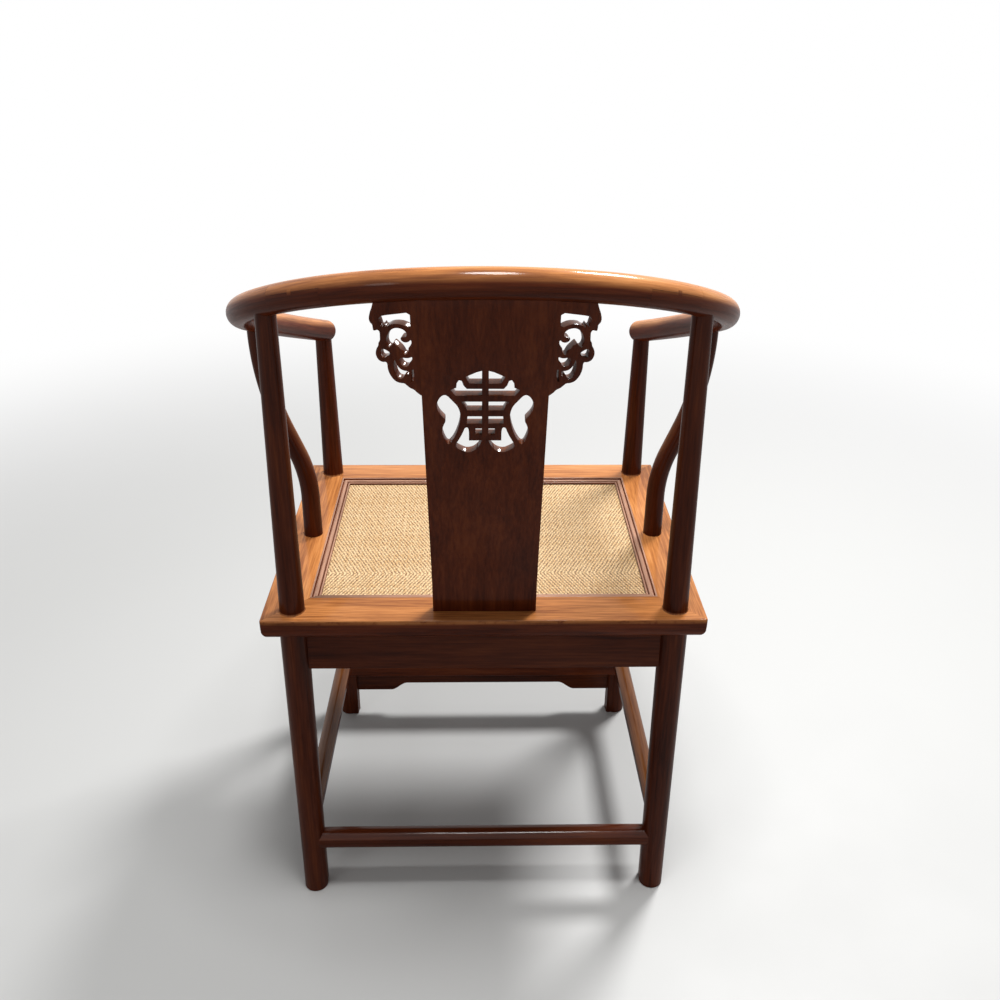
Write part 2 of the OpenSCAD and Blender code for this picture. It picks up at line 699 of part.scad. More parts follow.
// The splat's sheet, of one thickness, along its side view
module along_splat() {
    in_side_view() translate(splat_low) rotate(-splat_lean) children();
}
module splat_top_bend(thick, width, stop) {
    translate([-splat_top_r, splat_straight]) rotate_extrude(angle = splat_top_turn - span(stop, splat_top_r))
        translate([splat_top_r - thick / 2, -width / 2]) square([thick, width]);
}
module splat_sheet(thick, width) {
    along_splat() {
        translate([splat_foot_r, 0]) rotate(180) rotate_extrude(angle = splat_lean)
            translate([splat_foot_r - thick / 2, -width / 2]) square([thick, width]);
        linear_extrude(width, center = true) translate([-thick / 2, 0]) square([thick, splat_straight]);
        splat_top_bend(thick, width, 0);
    }
}
module splat_tongue(gap) {
    along_splat() splat_top_bend(splat_tongue_t + 2 * gap, splat_w - 2 * splat_tongue_margin + 2 * gap,
        rail_r - splat_tongue_in - gap);
}
module splat_foot_tenon(gap) {
    half = splat_w / 2 - splat_tongue_margin + gap;
    translate([-half, -splat_in - tenon_t / 2 - gap, seat_h - tenon_l - gap])
        cube([2 * half, tenon_t + 2 * gap, tenon_l + 2 * gap + tenon_t]);
}

// Front outline of the splat, wide enough past both ends to cut its edges
module splat_outline() {
    low = seat_h;
    high = rail_h;
    rotate([90, 0, 0]) linear_extrude(far, center = true) polygon([[-splat_half_w(low), low],
        [splat_half_w(low), low], [splat_half_w(high), high], [-splat_half_w(high), high]]);
}

// Openings of the roundel, mirrored about its upright bar
module roundel() {
    scale_to = [roundel_w / roundel_drawn[0], roundel_h / roundel_drawn[1]];
    bar_shift = roundel_bar / 2 - bar_edge * scale_to[0];
    translate([0, roundel_at[0], roundel_at[1]]) rotate([90 - splat_lean, 0, 0])
        linear_extrude(4 * splat_t, center = true) for (side = [0, 1]) mirror([side, 0])
        translate([bar_shift, 0]) {
            for (pane = roundel_panes) polygon(stretch(pane, scale_to));
            polygon(soft(stretch(roundel_lobe, scale_to)));
            polygon(soft(stretch(roundel_ear, scale_to)));
        }
}
module splat() {
    color(wood) at_origin() difference() {
        union() {
            difference() {
                intersection() {
                    splat_sheet(splat_t, 2 * max(splat_w, splat_top_w));
                    splat_outline();
                }
                back_envelope(fit_gap);
            }
            splat_tongue(0);
            splat_foot_tenon(0);
        }
        roundel();
        for (side = [0, 1]) mirror([side, 0, 0]) wing_tongue(wing_side_tongue, fit_gap);
    }
}

// A pierced wing: its plane swings forward about the splat's edge, under the rail
wing_scale = [wing_w / wing_drawn[0], wing_drop / wing_drawn[1]];
module in_wing_plane() {
    translate([splat_half_w(rail_h - wing_drop / 2), rail_behind, rail_h]) rotate([90 - wing_lean, 0, 0])
        rotate([0, -wing_turn, 0]) children();
}
module wing_tongue(box, gap) {
    low = [box[0][0] * wing_scale[0] - gap, box[0][1] * wing_scale[1] - gap];
    reach = [box[1][0] * wing_scale[0] + 2 * gap, box[1][1] * wing_scale[1] + 2 * gap];
    in_wing_plane() translate([low[0], low[1], -wing_tongue_t / 2 - gap])
        cube([reach[0], reach[1], wing_tongue_t + 2 * gap]);
}
module wing() {
    difference() {
        in_wing_plane() linear_extrude(wing_t, center = true) difference() {
            polygon(soften(stretch(wing_edge, wing_scale)));
            for (pane = wing_panes) polygon(soften(stretch(pane, wing_scale)));
        }
        splat_outline();
        back_envelope(fit_gap);
        slab(rail_h, far);
    }
    wing_tongue(wing_side_tongue, 0);
    wing_tongue(wing_top_tongue, 0);
}
module splat_left_wing() {
    color(dark_wood) at_origin() wing();
}
module splat_right_wing() {
    color(dark_wood) at_origin() mirror([1, 0, 0]) wing();
}

// Profile of a seat frame member: x inwards from its outer edge, y up from its top
module member_section(width) {
    union() {
        translate([edge_round, -frame_t]) square([width - edge_round, frame_t]);
        translate([edge_arris, -edge_flat]) square([edge_round, edge_flat]);
        translate([0, -edge_flat]) square([edge_arris, edge_flat - edge_arris]);
        translate([edge_arris, -edge_arris]) circle(edge_arris);
        intersection() {
            translate([edge_round, -edge_flat]) circle(edge_round);
            translate([0, -edge_bottom]) square([edge_round + edge_step, edge_bottom - edge_flat]);
        }
        translate([edge_in + edge_step, -frame_t]) square([edge_round - edge_in, 2 * bead_r]);
        translate([edge_in + edge_step + bead_sink, -frame_t + bead_r]) circle(bead_r);
    }
}

// Plan of the seat frame with its softened corners
module frame_plan() {
    translate([0, 0, under_frame]) linear_extrude(frame_t) union() {
        translate([-seat_w / 2 + corner_r, -seat_d]) square([seat_w - 2 * corner_r, seat_d]);
        translate([-seat_w / 2, -seat_d + corner_r]) square([seat_w, seat_d - 2 * corner_r]);
        for (x = [-seat_w / 2 + corner_r, seat_w / 2 - corner_r], y = [-seat_d + corner_r, -corner_r])
            translate([x, y]) circle(corner_r);
    }
}
module mitred(points) {
    translate([0, 0, under_frame]) linear_extrude(frame_t) polygon(points);
}

// The board's tongue, stopped short of the posts, and the battens' tenons
module board_tongue(gap) {
    wide = 2 * open_x + 2 * tongue_l + 2 * gap;
    deep = open_d + 2 * tongue_l + 2 * gap;
    for (size = [[wide, open_d - 2 * tongue_inset], [2 * open_x - 2 * tongue_inset, deep]])
        translate([-size[0] / 2, open_mid - size[1] / 2, board_bottom - gap])
            cube([size[0], size[1], tongue_t + 2 * gap]);
}
module batten_core(x, gap) {
    long = open_d + 2 * tongue_l + 2 * gap;
    wide = batten_w / 2 + 2 * gap;
    translate([x - wide / 2, open_mid - long / 2, board_bottom - batten_tenon_down - batten_tenon_t - gap])
        cube([wide, long, batten_tenon_t + 2 * gap]);
}

// Necks, tongues and tenons that pass into the seat frame from the left half of the chair
module frame_cuts() {
    for (side = [0, 1]) mirror([side, 0, 0]) {
        post(rear_foot, rear_top, fit_gap);
        post(front_foot, front_top, fit_gap);
        side_tenon(fit_gap);
        batten_core(batten_x, fit_gap);
    }
    board_tongue(fit_gap);
    splat_foot_tenon(fit_gap);
}
module seat_frame_rear() {
    color(wood) at_origin() difference() {
        intersection() {
            translate([0, 0, seat_h]) in_side_view() linear_extrude(seat_w, center = true) mirror([1, 0])
                member_section(member_w);
            mitred([[-seat_w / 2, 0], [-open_x, open_rear], [open_x, open_rear], [seat_w / 2, 0]]);
            frame_plan();
        }
        frame_cuts();
    }
}
module seat_frame_front() {
    color(wood) at_origin() difference() {
        intersection() {
            translate([0, -seat_d, seat_h]) in_side_view() linear_extrude(seat_w, center = true)
                member_section(front_member_w);
            mitred([[-seat_w / 2, -seat_d], [seat_w / 2, -seat_d], [open_x, open_front], [-open_x, open_front]]);
            frame_plan();
        }
        frame_cuts();
    }
}
module frame_side() {
    difference() {
        intersection() {
            translate([seat_w / 2, 0, seat_h]) rotate([90, 0, 0]) linear_extrude(seat_d) mirror([1, 0])
                member_section(member_w);
            mitred([[seat_w / 2, 0], [open_x, open_rear], [open_x, open_front], [seat_w / 2, -seat_d]]);
            frame_plan();
        }
        frame_cuts();
    }
}
module seat_frame_left() {
    color(wood) at_origin() frame_side();
}
module seat_frame_right() {
    color(wood) at_origin() mirror([1, 0, 0]) frame_side();
}

// The board under the mat, and the mat
module seat_board() {
    color(dark_wood) at_origin() {
        translate([-open_x + fit_gap, open_front + fit_gap, board_bottom])
            cube([2 * open_x - 2 * fit_gap, open_d - 2 * fit_gap, board_t]);
        board_tongue(0);
    }
}
module seat_mat() {
    color(straw) at_origin() translate([-open_x + fit_gap, open_front + fit_gap, board_top])
        cube([2 * open_x - 2 * fit_gap, open_d - 2 * fit_gap, mat_t]);
}

// Profile of a strip: x inwards from the frame's inner edge, y up from the mat, a slope with
// a round bead along each edge
strip_in_t = 2.5;
strip_bead_r = 1.4;
module strip_section() {
    intersection() {
        union() {
            polygon([[0, 0], [strip_w, 0], [strip_w, strip_in_t], [0, strip_t - strip_bead_r]]);
            translate([strip_bead_r, strip_t - strip_bead_r]) circle(strip_bead_r);
            translate([strip_w / 2, (strip_t + strip_in_t) / 2 - strip_bead_r]) circle(strip_bead_r);
            translate([strip_w - strip_bead_r, strip_in_t - strip_bead_r / 2]) circle(strip_bead_r);
        }
        square([strip_w, strip_t]);
    }
}
module strip_mitre(points) {
    translate([0, 0, mat_top]) linear_extrude(strip_t) polygon(points);
}
strip_x = open_x - fit_gap;
strip_rear_y = open_rear - fit_gap;
strip_front_y = open_front + fit_gap;
module mat_strip_rear() {
    color(wood) at_origin() intersection() {
        translate([0, strip_rear_y, mat_top]) in_side_view() linear_extrude(2 * strip_x, center = true)
            mirror([1, 0]) strip_section();
        strip_mitre([[-strip_x, strip_rear_y], [-strip_x + strip_w, strip_rear_y - strip_w],
            [strip_x - strip_w, strip_rear_y - strip_w], [strip_x, strip_rear_y]]);
    }
}
module mat_strip_front() {
    color(wood) at_origin() intersection() {
        translate([0, strip_front_y, mat_top]) in_side_view() linear_extrude(2 * strip_x, center = true)
            strip_section();
        strip_mitre([[-strip_x, strip_front_y], [strip_x, strip_front_y],
            [strip_x - strip_w, strip_front_y + strip_w], [-strip_x + strip_w, strip_front_y + strip_w]]);
    }
}
module strip_side() {
    intersection() {
        translate([strip_x, strip_rear_y, mat_top]) rotate([90, 0, 0])
            linear_extrude(strip_rear_y - strip_front_y) mirror([1, 0]) strip_section();
        strip_mitre([[strip_x, strip_rear_y], [strip_x - strip_w, strip_rear_y - strip_w],
            [strip_x - strip_w, strip_front_y + strip_w], [strip_x, strip_front_y]]);
    }
}
module mat_strip_left() {
    color(wood) at_origin() strip_side();
}
module mat_strip_right() {
    color(wood) at_origin() mirror([1, 0, 0]) strip_side();
}

// A batten under the board, tenoned into the front and rear members
module batten() {
    translate([batten_x - batten_w / 2, open_front + fit_gap, board_bottom - batten_t])
        cube([batten_w, open_d - 2 * fit_gap, batten_t]);
    batten_core(batten_x, 0);
}
module seat_batten_left() {
    color(dark_wood) at_origin() batten();
}
module seat_batten_right() {
    color(dark_wood) at_origin() mirror([1, 0, 0]) batten();
}

// Lower edge of an ogee ended apron: y = 0 over the end drops, the rise in between
ogee_steps = 12;
front_leg_inner = front_foot_x - foot_d / 2;
function ogee(rise) = [for (i = [0 : ogee_steps])
    [front_leg_inner - drop_l - ogee_l * i / ogee_steps, rise * (1 - cos(180 * i / ogee_steps)) / 2]];
module ogee_apron(height, rise) {
    reach = front_leg_inner + leg_r;
    right = ogee(rise);
    left = [for (i = [len(right) - 1 : -1 : 0]) [-right[i][0], right[i][1]]];
    polygon(concat([[reach, 0]], right, left, [[-reach, 0], [-reach, height], [reach, height]]));
}

// Cuts both legs of a pair out of what runs between them
module clear_of(foot, top, inward) {
    difference() {
        children();
        for (side = [0, 1]) mirror([side, 0, 0]) leg(foot, top, inward, fit_gap);
    }
}
module rear_apron() {
    leg_at = at_height(rear_foot, rear_top, apron_mid);
    color(wood) at_origin() {
        clear_of(rear_foot, rear_top, -1)
            translate([-leg_at[0], leg_at[1] + apron_shift - apron_t / 2, under_frame - apron_h])
            cube([2 * leg_at[0], apron_t, apron_h]);
        rear_apron_core(0);
    }
}
module front_apron() {
    leg_at = at_height(front_foot, front_top, apron_mid);
    color(wood) at_origin() {
        clear_of(front_foot, front_top, 1)
            translate([0, leg_at[1] - apron_shift + apron_t / 2, under_frame - apron_h]) rotate([90, 0, 0])
            linear_extrude(apron_t) ogee_apron(apron_h, apron_rise);
        front_apron_core(0);
    }
}
module side_apron() {
    a = at_height(rear_foot, rear_top, apron_mid);
    b = at_height(front_foot, front_top, apron_mid);
    difference() {
        translate([apron_shift, 0, 0]) between(a, b) linear_extrude(norm(b - a))
            square([apron_t, apron_h], center = true);
        leg(rear_foot, rear_top, -1, fit_gap);
        leg(front_foot, front_top, 1, fit_gap);
    }
    side_apron_core(0);
}
module left_apron() {
    color(wood) at_origin() side_apron();
}
module right_apron() {
    color(wood) at_origin() mirror([1, 0, 0]) side_apron();
}

// Footrest with a rounded front edge, and its apron
module footrest() {
    leg_at = at_height(front_foot, front_top, footrest_mid);
    edge_r = footrest_t / 2;
    color(wood) at_origin() {
        clear_of(front_foot, front_top, 1)
            translate([-leg_at[0], leg_at[1], footrest_mid]) in_side_view() linear_extrude(2 * leg_at[0]) union() {
                translate([-footrest_w / 2 + edge_r, -footrest_t / 2]) square([footrest_w - edge_r, footrest_t]);
                translate([-footrest_w / 2 + edge_r, 0]) circle(edge_r);
            }
        footrest_core(0);
    }
}
module footrest_apron() {
    leg_at = at_height(front_foot, front_top, footrest_apron_mid);
    color(wood) at_origin() {
        clear_of(front_foot, front_top, 1)
            translate([0, leg_at[1] + apron_t / 2, footrest_h - footrest_t - footrest_apron_h]) rotate([90, 0, 0])
            linear_extrude(apron_t) ogee_apron(footrest_apron_h, footrest_apron_rise);
        footrest_apron_core(0);
    }
}

// Profile of a stretcher: a round with a soft ridge along its top
module ridged_round(d) {
    circle(d = d);
    intersection() {
        translate([-d / 2, 0]) circle(d + ridge_rise);
        translate([d / 2, 0]) circle(d + ridge_rise);
        translate([-d / 2, 0]) square([d, d]);
        circle(d / 2 + ridge_rise);
    }
}
module rear_stretcher() {
    leg_at = at_height(rear_foot, rear_top, rear_stretcher_h);
    color(wood) at_origin() {
        clear_of(rear_foot, rear_top, -1) translate([-leg_at[0], leg_at[1], rear_stretcher_h]) in_side_view()
            linear_extrude(2 * leg_at[0]) ridged_round(rear_stretcher_d);
        rear_stretcher_core(0);
    }
}
module side_stretcher() {
    a = at_height(rear_foot, rear_top, side_stretcher_h);
    b = at_height(front_foot, front_top, side_stretcher_h);
    difference() {
        between(a, b) linear_extrude(norm(b - a)) ridged_round(side_stretcher_d);
        leg(rear_foot, rear_top, -1, fit_gap);
        leg(front_foot, front_top, 1, fit_gap);
    }
    side_stretcher_core(0);
}
module left_stretcher() {
    color(wood) at_origin() side_stretcher();
}
module right_stretcher() {
    color(wood) at_origin() mirror([1, 0, 0]) side_stretcher();
}

rear_left_leg_post();
rear_right_leg_post();
front_left_leg_post();
front_right_leg_post();
crest_rail_back();
crest_rail_left_shoulder();
crest_rail_right_shoulder();
crest_rail_left_arm();
crest_rail_right_arm();
rail_wedge_pins();
splat();
splat_left_wing();
splat_right_wing();
left_side_post();
right_side_post();
seat_frame_rear();
seat_frame_front();
seat_frame_left();
seat_frame_right();
seat_board();
seat_mat();
mat_strip_rear();
mat_strip_front();
mat_strip_left();
mat_strip_right();
seat_batten_left();
seat_batten_right();
rear_apron();
front_apron();
left_apron();
right_apron();
footrest();
footrest_apron();
rear_stretcher();
left_stretcher();
right_stretcher();
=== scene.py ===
"""Looks of the round-back armchair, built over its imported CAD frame.

Laid out as an add-on and run as a script: sizes and colours are properties, each group of like
pieces is an operator, and main() calls them in order. Metres, in the frame's own axes: the
sitter faces -Y and +X is the sitter's left.
"""

import math

import bmesh
import bpy
import numpy as np
from bpy.props import FloatProperty, FloatVectorProperty, PointerProperty
from mathutils import Matrix, Vector


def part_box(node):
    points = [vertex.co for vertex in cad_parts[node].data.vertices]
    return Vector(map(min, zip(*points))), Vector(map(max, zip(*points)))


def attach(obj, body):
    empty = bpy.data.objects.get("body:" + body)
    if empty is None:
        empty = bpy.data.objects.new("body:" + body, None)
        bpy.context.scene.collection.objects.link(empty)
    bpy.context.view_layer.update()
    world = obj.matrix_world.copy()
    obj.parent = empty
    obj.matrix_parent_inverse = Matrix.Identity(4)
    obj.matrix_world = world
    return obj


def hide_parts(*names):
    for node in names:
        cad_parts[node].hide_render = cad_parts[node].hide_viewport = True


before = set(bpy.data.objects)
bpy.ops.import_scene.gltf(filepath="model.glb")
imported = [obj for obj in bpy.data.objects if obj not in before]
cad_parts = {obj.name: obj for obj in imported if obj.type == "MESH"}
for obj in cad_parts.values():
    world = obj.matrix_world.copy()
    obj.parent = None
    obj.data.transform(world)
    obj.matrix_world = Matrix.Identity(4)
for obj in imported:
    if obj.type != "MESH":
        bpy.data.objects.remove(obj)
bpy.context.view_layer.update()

bl_info = {
    "name": "Round-back armchair",
    "version": (1, 0, 0),
    "blender": (4, 5, 0),
    "location": "3D View > Sidebar > Armchair",
    "description": "Builds the finished surfaces of a round-back armchair over its CAD frame",
    "category": "Add Mesh",
}

REAR_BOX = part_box("seat_frame_rear")
FRONT_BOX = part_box("seat_frame_front")
SIDE_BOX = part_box("seat_frame_left")
MAT_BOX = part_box("seat_mat")
STRIP_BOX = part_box("mat_strip_left")
SEAT_HALF = REAR_BOX[1].x
SEAT_REAR = REAR_BOX[1].y
SEAT_FRONT = FRONT_BOX[0].y
SEAT_TOP = REAR_BOX[1].z
SEAT_UNDER = REAR_BOX[0].z
SIDES = {"left": 1, "right": -1}

# Angles in degrees past which an edge between two faces stays sharp.
SHARP, RIDGE_SHARP = 34.0, 28.0
# Points round a section, and rows along a piece.
RAIL_POINTS, LEG_POINTS, SIDE_POST_POINTS = 64, 72, 56
MOULDING_POINTS, FOOTREST_POINTS, RIDGE_POINTS = 18, 22, 26
RAIL_END_ROWS, LEG_ROWS, POST_ROWS, SIDE_POST_ROWS = 14, 24, 28, 110
MEMBER_ROWS, OGEE_ROWS, BOARD_ROWS, BAR_ROWS = 12, 26, 9, 13
MAT_ROWS = (190, 152)
# The longest step between the rail's rows.
RAIL_STEP = 0.004
# How far a post ends under the rail's line, and the upright stretch at a side post's top.
POST_SHORT, SIDE_POST_TOP = 0.002, 0.010
# Power of the curve that draws a leg's square corner, which is round at 2.
SQUARENESS = 14
# Easing of a leg's foot, the pierced boards, the footrest and the frame's inner edge.
FOOT_EASE, PIERCED_EASE, FOOTREST_EASE, INNER_EASE = 0.0012, 0.0012, 0.0015, 0.0006
SIDE_APRON_HALF = 0.007
# The mat's thickness, and how far in from its edge it lies flat.
MAT_THICKNESS, FLAT_RIM = 0.0012, 0.03
# Painted shade on pieces that stand in shade: how much of the painted top light the splat and
# wings, the rear stretcher and the side stretchers lose.
PIERCED_SHADE, REAR_BAR_SHADE, SIDE_BAR_SHADE = -0.85, -1.0, -0.6
# A post's flare where it stands on the seat: height above the seat, widening, and a paler rubbed
# ring that is part wear and part painted highlight.
FLARE = ((0.0, 0.0009, 1.0), (0.0004, 0.0006, 1.0), (0.0016, 0.0002, 0.7), (0.0028, 0.0, 0.0))
# Rows at a rounded corner of the seat, as shares of its radius.
CORNER_ROWS = (0.0, 0.36, 0.5, 0.75, 1.0)
# Paler rubbed arris on the seat frame, part wear and part a painted highlight line: points of its
# profile, and the amount there.
ARRIS_WEAR_AND_HIGHLIGHT = ([0, 2, 5, 7], [0.5, 1.0, 0.6, 0.0])
# Lamps: name, place, the point aimed at, width and power in watts. The key stands in front on the
# sitter's right, the top lamp hangs just behind the chair, and the weak fill stands further behind
# on the sitter's left.
LAMPS = (
    ("key", (-1.3, -1.5, 2.9), (0, 0, 0.6), 0.8, 95.0),
    ("top", (-0.1, 0.45, 3.2), (0, 0.1, 0.5), 0.75, 54.0),
    ("fill", (2.0, 2.2, 1.9), (0, 0, 0.5), 0.7, 6.0),
)
WORLD_LIGHT = 0.24
FLOOR_REACH = 14.0
# The camera's place, its turn, pitch and roll in radians, its focal length and the image's width
# in pixels, and its sensor's width in millimetres.
CAMERA_PLACE = (0.0084, 1.1085 + SEAT_REAR, 1.2316)
CAMERA_TURN = (-0.0244, 0.4643, 0.0091)
FOCAL_PIXELS, IMAGE_PIXELS, SENSOR = 1009.74, 1000, 36.0


def length(label, about, default):
    """A length in metres that a user can change."""
    return FloatProperty(name=label, description=about, default=default,
                         unit="LENGTH", subtype="DISTANCE")


def turn(label, about, degrees):
    """An angle that a user can change, given in degrees and held in radians."""
    return FloatProperty(name=label, description=about, default=math.radians(degrees),
                         unit="ROTATION", subtype="ANGLE")


def share(label, about, default):
    """A plain share from 0 to 1 that a user can change."""
    return FloatProperty(name=label, description=about, default=default,
                         min=0.0, max=1.0, subtype="FACTOR")


def tint(label, about, default):
    """A linear colour that a user can change."""
    return FloatVectorProperty(name=label, description=about, default=default,
                               size=3, min=0.0, max=1.0, subtype="COLOR")


class RailSizes(bpy.types.PropertyGroup):
    """Sizes of the crest rail."""

    radius: length("Radius", "Rail's radius, a hair under the CAD's so that its pins are flush", 0.01695)
    height: length("Height", "Height of the rail's line at the middle of the back", 0.966)
    behind: length("Set back", "Distance of that line behind the seat's rear edge", 0.080)
    slope: turn("Slope", "Slope of the rail down towards the front", 25.0)
    back_radius: length("Back radius", "Radius of the back stretch", 0.32804)
    back_turn: turn("Back turn", "Half the angle of the back stretch", 45.0)
    shoulder_radius: length("Shoulder radius", "Radius of a shoulder stretch", 0.27199)
    shoulder_turn: turn("Shoulder turn", "Angle of a shoulder stretch", 49.5)
    shoulder_roll: turn("Shoulder roll", "Twist of a shoulder stretch about the rail", -6.0)
    arm_radius: length("Arm radius", "Radius of an arm stretch", 1.1)
    arm_length: length("Arm length", "Length of an arm stretch along its line", 0.29888)
    arm_roll: turn("Arm roll", "Twist of an arm stretch about the rail", 4.0)
    end_radius: length("End rounding", "Radius of the rounding at the arms' ends", 0.012)
    lap: length("Lap", "Length of the half laps between the rail's pieces", 0.080)
    joint_gap: length("Joint line", "Width of the dark line at a lap", 0.0003)
    post_at: length("Rear post", "Place of the rear post along the shoulder stretch", 0.030)
    front_post_in: length("Front post", "Distance of the front post from the arm's end", 0.021)
    side_post_at: length("Side post", "Place of the side post along the arm stretch", 0.0225)


class PostSizes(bpy.types.PropertyGroup):
    """Sizes of the legs, posts and side posts."""

    rear_foot_side: length("Rear foot, side", "Rear leg's line in from the side, at the floor", 0.0355)
    rear_foot_in: length("Rear foot, depth", "Rear leg's line in from the rear edge", 0.029)
    front_foot_side: length("Front foot, side", "Front leg's line in from the side, at the floor", 0.041)
    front_foot_in: length("Front foot, depth", "Front leg's line in from the front edge", 0.035)
    foot_radius: length("Foot radius", "Radius of a leg at the floor", 0.0175)
    leg_radius: length("Leg radius", "Radius of a leg under the seat", 0.019)
    leg_square: length("Square corner", "Reach of a leg's square inner corner", 0.0165)
    post_radius: length("Post radius", "Radius of a post at the seat", 0.017)
    post_top_radius: length("Post top radius", "Radius of a post at the rail", 0.0125)
    side_foot_side: length("Side post, side", "Side post's foot in from the seat's side", 0.0368)
    side_foot_in: length("Side post, depth", "Side post's foot in from the rear edge", 0.241)
    side_radius: length("Side post radius", "Radius of a side post at the seat", 0.01375)
    side_top_radius: length("Side post top radius", "Radius of a side post at the rail", 0.0121)
    side_rise: length("Side post rise", "Upright stretch at the side post's foot", 0.0615)
    side_low_radius: length("Lower bend", "Radius of a side post's lower bend", 0.212)
    side_high_radius: length("Upper bend", "Radius of a side post's upper bend", 0.426)
    side_lean: turn("Side post lean", "Lean of a side post between its bends", 20.6)


class SeatSizes(bpy.types.PropertyGroup):
    """Sizes of the mouldings, aprons, stretchers and mat."""

    arris: length("Arris", "Rounding of the seat frame's top edge", 0.002)
    fillet: length("Fillet", "Upright fillet at the top of the moulding", 0.005)
    moulding: length("Moulding reach", "Reach of the long round under the seat frame's edge", 0.012)
    fullness: FloatProperty(name="Fullness", description="Power of the long round's curve",
                            default=2.4, subtype="FACTOR")
    corner: length("Corner radius", "Rounding of the seat's upright corners", 0.004)
    edge: length("Eased edge", "Easing of the plain edges of aprons and splat", 0.0014)
    apron_drop: length("Apron drop", "Length of the front apron's end drops", 0.062)
    ogee: length("Ogee", "Length of an ogee from drop to raised edge", 0.031)
    front_rise: length("Front apron rise", "Rise of the front apron's lower edge", 0.012)
    foot_rise: length("Footrest apron rise", "Rise of the footrest apron's lower edge", 0.0155)
    ridge: length("Ridge", "Height of the ridged top above a round stretcher", 0.0025)
    strand: length("Strand", "Width of the strands that run front to back", 0.0025)
    weft: length("Cross strand", "Width of the strands that run side to side", 0.0054)
    mat_wave: length("Mat wave", "Height of the mat's slow waves", 0.0004)
    weave_turn: length("Weave turn", "Place where the weave turns over, in from the rear", 0.075)


class FinishColours(bpy.types.PropertyGroup):
    """Colours of the lacquered wood and the mat."""

    dark: tint("Dark grain", "Darkest lines of the wood", (0.036, 0.0056, 0.0016))
    body: tint("Wood", "Body colour of the wood", (0.104, 0.0195, 0.0052))
    light: tint("Pale grain", "Palest bands of the wood", (0.185, 0.0430, 0.0110))
    # Tones of faces that look up: partly faded by hands and daylight, partly painted light from above.
    faded_and_lit_dark: tint("Handled dark grain", "Darkest lines of the faded wood", (0.250, 0.0800, 0.0230))
    faded_and_lit: tint("Handled wood", "Body colour where hands have faded it", (0.510, 0.1930, 0.0560))
    faded_and_lit_pale: tint("Handled pale grain", "Palest bands of the faded wood", (0.720, 0.3300, 0.1180))
    # The strips' tops take the same painted light from above.
    strip: tint("Mat strips", "Body colour of the strips' faded tops", (0.400, 0.215, 0.140))
    straw: tint("Straw", "Body colour of the woven strands", (0.87, 0.635, 0.37))
    straw_dark: tint("Aged straw", "Darker strands of the mat", (0.66, 0.41, 0.185))
    gap: tint("Gaps", "Shade between the woven strands", (0.140, 0.064, 0.024))
    floor: tint("Floor", "Pale studio floor", (0.60, 0.60, 0.59))
    gloss: share("Lacquer", "Weight of the clear lacquer, several times this on top faces", 0.14)


# Shapes


def unit(v):
    """Vectors divided by their own length, along the last axis."""
    v = np.asarray(v, float)
    return v / np.maximum(np.linalg.norm(v, axis=-1, keepdims=True), 1e-12)


def around(points):
    """Angles evenly round a full turn."""
    return np.linspace(0, 2 * math.pi, points, endpoint=False)


def eased(corners, ease, steps=5):
    """A ring, or rows of rings, whose corners are swapped for short curves: each runs from a point
    `ease` before the corner to one `ease` after it, as (1-t)^2 a + 2t(1-t) corner + t^2 b."""
    p = np.asarray(corners, float)
    before = p + ease * unit(np.roll(p, 1, -2) - p)
    after = p + ease * unit(np.roll(p, -1, -2) - p)
    a, p, b = (points[..., None, :] for points in (before, p, after))
    t = np.linspace(0, 1, steps)[:, None]
    ring = (1 - t) ** 2 * a + 2 * t * (1 - t) * p + t**2 * b
    return ring.reshape(*p.shape[:-3], -1, 2)


def arc(centre, radius, start, end, steps):
    """Points of a circle's arc: centre + radius (cos a, sin a), with a from start to end in degrees."""
    a = np.radians(np.linspace(start, end, steps))
    return np.stack([centre[0] + radius * np.cos(a), centre[1] + radius * np.sin(a)], 1)


def new_mesh(name, verts, faces):
    """A mesh of the given points and faces."""
    mesh = bpy.data.meshes.new(name)
    mesh.from_pydata(np.asarray(verts, float).tolist(), [], faces)
    mesh.validate()
    return mesh


def finished(mesh, grain, material, node, wear=None):
    """One finished object at the origin: the mesh with its grain and its attribute of wear and
    painted light, riding on the chair's only body and standing for a CAD node."""
    store = mesh.attributes.new("grain", "FLOAT_VECTOR", "POINT")
    store.data.foreach_set("vector", np.asarray(grain, np.float32).ravel())
    if wear is not None:
        wear_and_light_store = mesh.attributes.new("wear", "FLOAT", "POINT")
        wear_and_light_store.data.foreach_set("value", np.asarray(wear, np.float32).ravel())
    mesh.materials.append(material)
    mesh.polygons.foreach_set("use_smooth", np.ones(len(mesh.polygons), bool))
    obj = bpy.data.objects.new(mesh.name, mesh)
    bpy.context.scene.collection.objects.link(obj)
    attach(obj, "root")
    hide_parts(node)
    return obj


def outward(verts, faces):
    """The faces, all turned over if the volume under them, the sum of a.(b x c)/6 over their fans,
    comes out negative."""
    total = 0.0
    for size in {len(f) for f in faces}:
        same = np.array([f for f in faces if len(f) == size])
        for k in range(1, size - 1):
            a, b, c = verts[same[:, 0]], verts[same[:, k]], verts[same[:, k + 1]]
            total += np.einsum("ij,ij->i", a, np.cross(b, c)).sum()
    return faces if total > 0 else [f[::-1] for f in faces]


